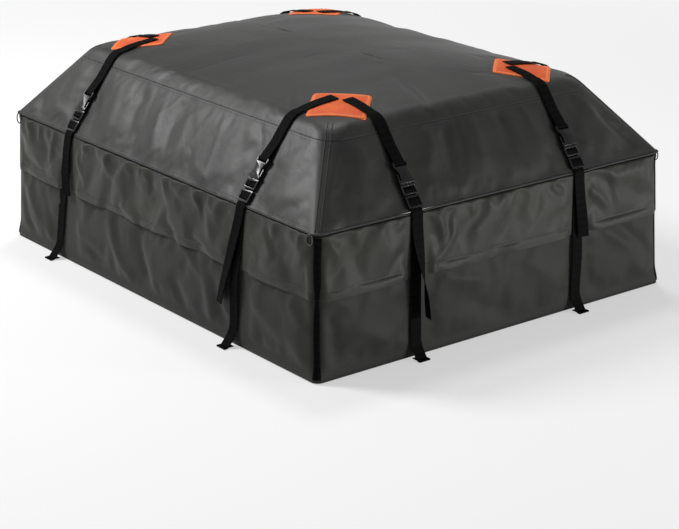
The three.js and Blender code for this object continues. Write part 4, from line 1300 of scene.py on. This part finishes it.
def upper_path(strap):
    """(out, height) from the strap's end on the patch, over the ridge, round the socket's bar and back."""
    face = strap.face
    tip = END_STRAP_PLACE + SIDE_STRAP_OVERRUN if face.is_long else SIDE_STRAP_PLACE + END_STRAP_OVERRUN
    on_patch = PATCH_GAP + PATCH_THICKNESS + STRAP_ON_PATCH_GAP + HALF_WEB
    path = []
    for out in np.linspace(tip, face.reach - CROWN_START, 12)[:-1]:
        height = roof_at(out, strap.along) if face.is_long else roof_at(strap.along, out)
        path.append((out, float(height) + on_patch))
    for turn in np.linspace(0, SLOPE_ANGLE, 9):
        radius = RIDGE_RADIUS + on_patch
        out = face.reach - CROWN_START + radius * math.sin(turn)
        path.append((out, RIDGE_HEIGHT - RIDGE_RADIUS + radius * math.cos(turn)))
    bar_start = SOCKET_END - SOCKET_BAR
    over = SOCKET_MIDDLE + SOCKET_BAR / 2 + CLEARANCE + HALF_WEB
    under = SOCKET_MIDDLE - SOCKET_BAR / 2 - CLEARANCE - HALF_WEB
    bend = bar_start - WEBBING_THICKNESS
    places = [(SOCKET_END + LAYERS_PART, on_patch), (SOCKET_END, over), (bend, over), (bend, under)]
    places += [(SOCKET_END + 1, under), (SOCKET_END + RETURN_START, INNER_LAYER)]
    places += [(SOCKET_END + RETURN_END, INNER_LAYER)]
    path += [on_slope(face, *place) for place in places]
    return np.column_stack([np.zeros(len(path)), np.array(path), np.zeros(len(path))])


def lower_path(strap):
    """(across, out, height, twist) from the hem on the floor up to the plug's bar and down the free tail."""
    face = strap.face
    stand = FLAP_PROUD + SEAT_GAP + HALF_WEB
    floor = CLEARANCE + HALF_WEB
    wall_top = SEAM_HEIGHT - WELT_DROP

    def drift(z):
        return strap.lean * min(max(1 - z / wall_top, 0), 1) ** LEAN_CURVE

    out = face.reach + stand
    hem = out + FLOOR_HEM_LENGTH
    path = [
        (hem - FLOOR_HEM_FOLD, floor + LAYER_PITCH),
        (hem, floor + LAYER_PITCH),
        (hem, floor),
        (out + 2 * FLOOR_HEM_TURN, floor + 0.4),
        (out + FLOOR_HEM_TURN / 2, floor + 2 * FLOOR_HEM_TURN),
    ]
    for share in np.linspace(0.12, 1, 10):
        z = wall_top * share
        flutter = strap.flutter * math.sin(math.pi * share) ** 2 * math.sin(7 * share + strap.along)
        path.append(on_wall(face, z, stand + max(flutter, 0)))
    path.append(seam_turn(face, INNER_LAYER, stand))
    middle = GLIDE_START + GLIDE_BAR + GLIDE_SLOT
    hump = MIDDLE_BAR_TOP + CLEARANCE + HALF_WEB - INNER_LAYER
    ramp = [
        (GLIDE_START + GLIDE_BAR, 0),
        (middle, hump),
        (middle + GLIDE_MIDDLE, hump),
        (GLIDE_END - GLIDE_BAR, 0),
    ]
    path += [on_slope(face, up, INNER_LAYER + climb) for up, climb in ramp]
    rise = MID_BAR_START + PLUG_BAR + PLUG_UPPER_SLOT / 2
    over = MID_BAR_FLOOR + BAR_THICKNESS + CLEARANCE + HALF_WEB
    path += [on_slope(face, rise, INNER_LAYER), on_slope(face, rise, over)]
    path.append(on_slope(face, MID_BAR_START - 1, over))
    path.append(on_slope(face, PLUG_START + PLUG_BAR + 1.6, OUTER_LAYER))
    path += [on_slope(face, up, OUTER_LAYER + climb) for up, climb in ramp[::-1]]
    path.append(seam_turn(face, OUTER_LAYER, stand + LAYER_PITCH))
    main = [(drift(z), out, z, 0) for out, z in path]
    tail = []
    for share in np.linspace(0.04, 1, 12):
        z = wall_top - strap.tail * share
        turn = math.radians(strap.twist) * smooth(share, 0.15, 0.9)
        away = abs(math.sin(turn)) * WEBBING_WIDTH / 2 + strap.flutter * math.sin(2.4 * share) * share
        out, z = on_wall(face, z, stand + LAYER_PITCH + max(away, 0) + 1.2 * smooth(share, 0, 0.3))
        across = drift(z) * (1 - 0.5 * share) + strap.splay * share**1.3
        tail.append((across, out, z, float(turn)))
    return np.array(main + tail)


def edit(piece, *steps):
    """Runs edit-mode operators, given with their settings, on the whole of a piece's mesh."""
    make_active(piece)
    bpy.ops.object.mode_set(mode="EDIT")
    bpy.ops.mesh.select_all(action="SELECT")
    for operator, settings in steps:
        operator(**settings)
    bpy.ops.object.mode_set(mode="OBJECT")


def ribbon(name, path, strap, lift=None):
    """Webbing along a path: a flat strap with rounded edges, its threads following its own length."""
    points, twist = path[:, :3], path[:, 3]
    way = directions(points[:, 1:], False)
    normal = np.column_stack([np.zeros(len(way)), way[:, 1], -way[:, 0]])
    across = np.tile([1.0, 0, 0], (len(path), 1))
    cos, sin = np.cos(twist)[:, None], np.sin(twist)[:, None]
    turned = cos * across + sin * normal
    normal = cos * normal - sin * across
    half, edge, low = WEBBING_WIDTH / 2, WEBBING_WIDTH / 2 - 0.5, -HALF_WEB
    section = [(-half, 0), (-edge, low), (-half / 2, low), (0, low), (half / 2, low), (edge, low)]
    section += [(-w, -h) for w, h in section]
    rows, threads = [], []
    run = distances(points)
    for w, h in section:
        row = points + w * turned + h * normal
        if lift is not None:
            row[:, 2] += lift(w, points[:, 1])
        rows.append(row)
        threads.append(np.column_stack([np.full(len(run), w), run]))
    local = np.stack(rows, 1)
    plan = strap.face.plan(strap.along + local[:, :, 0], local[:, :, 1])
    verts = np.concatenate([plan, local[:, :, 2:]], -1).reshape(-1, 3)
    piece = make_mesh(name, verts, rod_faces(len(path), len(section)), np.stack(threads, 1).reshape(-1, 2))
    edit(piece, (bpy.ops.mesh.normals_make_consistent, {"inside": False}))
    bpy.ops.object.shade_smooth_by_angle(angle=math.radians(50))
    return piece


def make_straps(material):
    for strap in STRAPS:
        face = strap.face

        def lift(w, out):
            places = [(out, strap.along + w), (out, strap.along)]
            if not face.is_long:
                places = [place[::-1] for place in places]
            change = roof_at(*places[0]) - roof_at(*places[1])
            return np.where(out < face.reach - CROWN_START, change, 0)

        upper = spaced(rounded(upper_path(strap), 2.2), 5)
        piece = ribbon(f"upper_webbing_{strap.label}", upper, strap, lift)
        finish(piece, material, "webbing", f"upper_strap_{strap.label}")
        lower = spaced(rounded(lower_path(strap), 3.5), 5)
        piece = ribbon(f"lower_webbing_{strap.label}", lower, strap)
        finish(piece, material, "webbing", f"lower_strap_{strap.label}", body=None)
        x, y = face.plan(strap.along, face.reach) * MM
        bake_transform(piece)


# Hardware


def make_hardware(plastic):
    """Buckle pieces, moulded to their solids' shapes, with edges eased as a mould leaves them."""
    for label in (strap.label for strap in STRAPS):
        plug_body = f"buckle_plug_{label}"
        for node_name, piece_name, body, width in (
            (f"socket_{label}", f"buckle_socket_{label}", "bag", 0.7),
            (f"plug_{label}", f"buckle_tongue_{label}", plug_body, 0.45),
            (f"strap_slider_{label}", f"buckle_glide_{label}", plug_body, 0.5),
        ):
            mesh = bpy.data.objects[node_name].data.copy()
            mesh.name = piece_name
            piece = bpy.data.objects.new(piece_name, mesh)
            bpy.context.scene.collection.objects.link(piece)
            merged = (bpy.ops.mesh.remove_doubles, {"threshold": 0.02 * MM})
            edit(piece, merged, (bpy.ops.mesh.dissolve_limited, {"angle_limit": math.radians(2)}))
            eased = {"limit_method": "ANGLE", "angle_limit": math.radians(25)}
            apply_modifier(piece, "BEVEL", width=width * MM, segments=2, **eased)
            bpy.ops.object.shade_smooth_by_angle(angle=math.radians(40))
            finish(piece, plastic, "buckle_plastic", node_name, body=body)


def main():
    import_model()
    make_studio()
    # The three are one fabric. The roof has the most sheen, the tub the least, and the flap is a little
    # green; the tub's and the flap's base colours are paler than the roof's, as painted light.
    roof_fabric = coated_polyester("coated_polyester", "151614", "1C1D1A", "232421", 0.5, 0.4)
    tub_fabric = coated_polyester("coated_polyester_tub", "1D1D1C", "252523", "2D2D2A", 0.62, 0.2)
    flap_fabric = coated_polyester("coated_polyester_flap", "22231E", "2B2C26", "34352E", 0.54, 0.22)
    # Cord covered in rubbery vinyl: nearly black and dull, a dark line along each seam.
    piping = grained("rubbery_piping", "0B0B0B", "101010", 0.62, 3)
    # Spun polyester thread: charcoal, a little paler than the fabric it is sewn in.
    thread = grained("charcoal_thread", "2E2E30", "3A3A3C", 0.6, 1)
    # Moulded acetal: black and smooth, with small bright glints on its edges.
    plastic = grained("moulded_acetal", "0B0B0C", "111112", 0.28, 1.5, depth=0.05)
    webbing = polyester_webbing()
    orange = orange_oxford()
    # Spun thread in a paler orange, which shows against the patch.
    pale_thread = grained("orange_thread", "FFA070", "FFB58C", 0.6, 1)
    # Cast zinc plated with nickel: pale metal with soft reflections.
    nickel = grained("nickelled_zinc", "8E8E92", "A6A6AA", 0.32, 2, metallic=1.0)
    # Woven polyester tape of the zip: dull black.
    tape = grained("woven_zip_tape", "121213", "1B1B1D", 0.7, 1.2)
    tub, roof, flap = make_tub(tub_fabric), make_roof(roof_fabric), make_flap(flap_fabric)
    surfaces = [surface_of(piece) for piece in (tub, roof, flap)]
    make_seams(piping, thread, *surfaces)
    make_shade_binding_tapes(webbing, surfaces[0], surfaces[2])
    make_loops(thread)
    for label in PATCH_PLACES:
        make_patch(label, orange, pale_thread)
    make_straps(webbing)
    make_hardware(plastic)
    paint(bpy.data.objects["zip_chain"], tape)
    for side in ("left", "right"):
        paint(bpy.data.objects[f"zip_slider_{side}"], nickel)
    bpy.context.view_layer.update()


main()
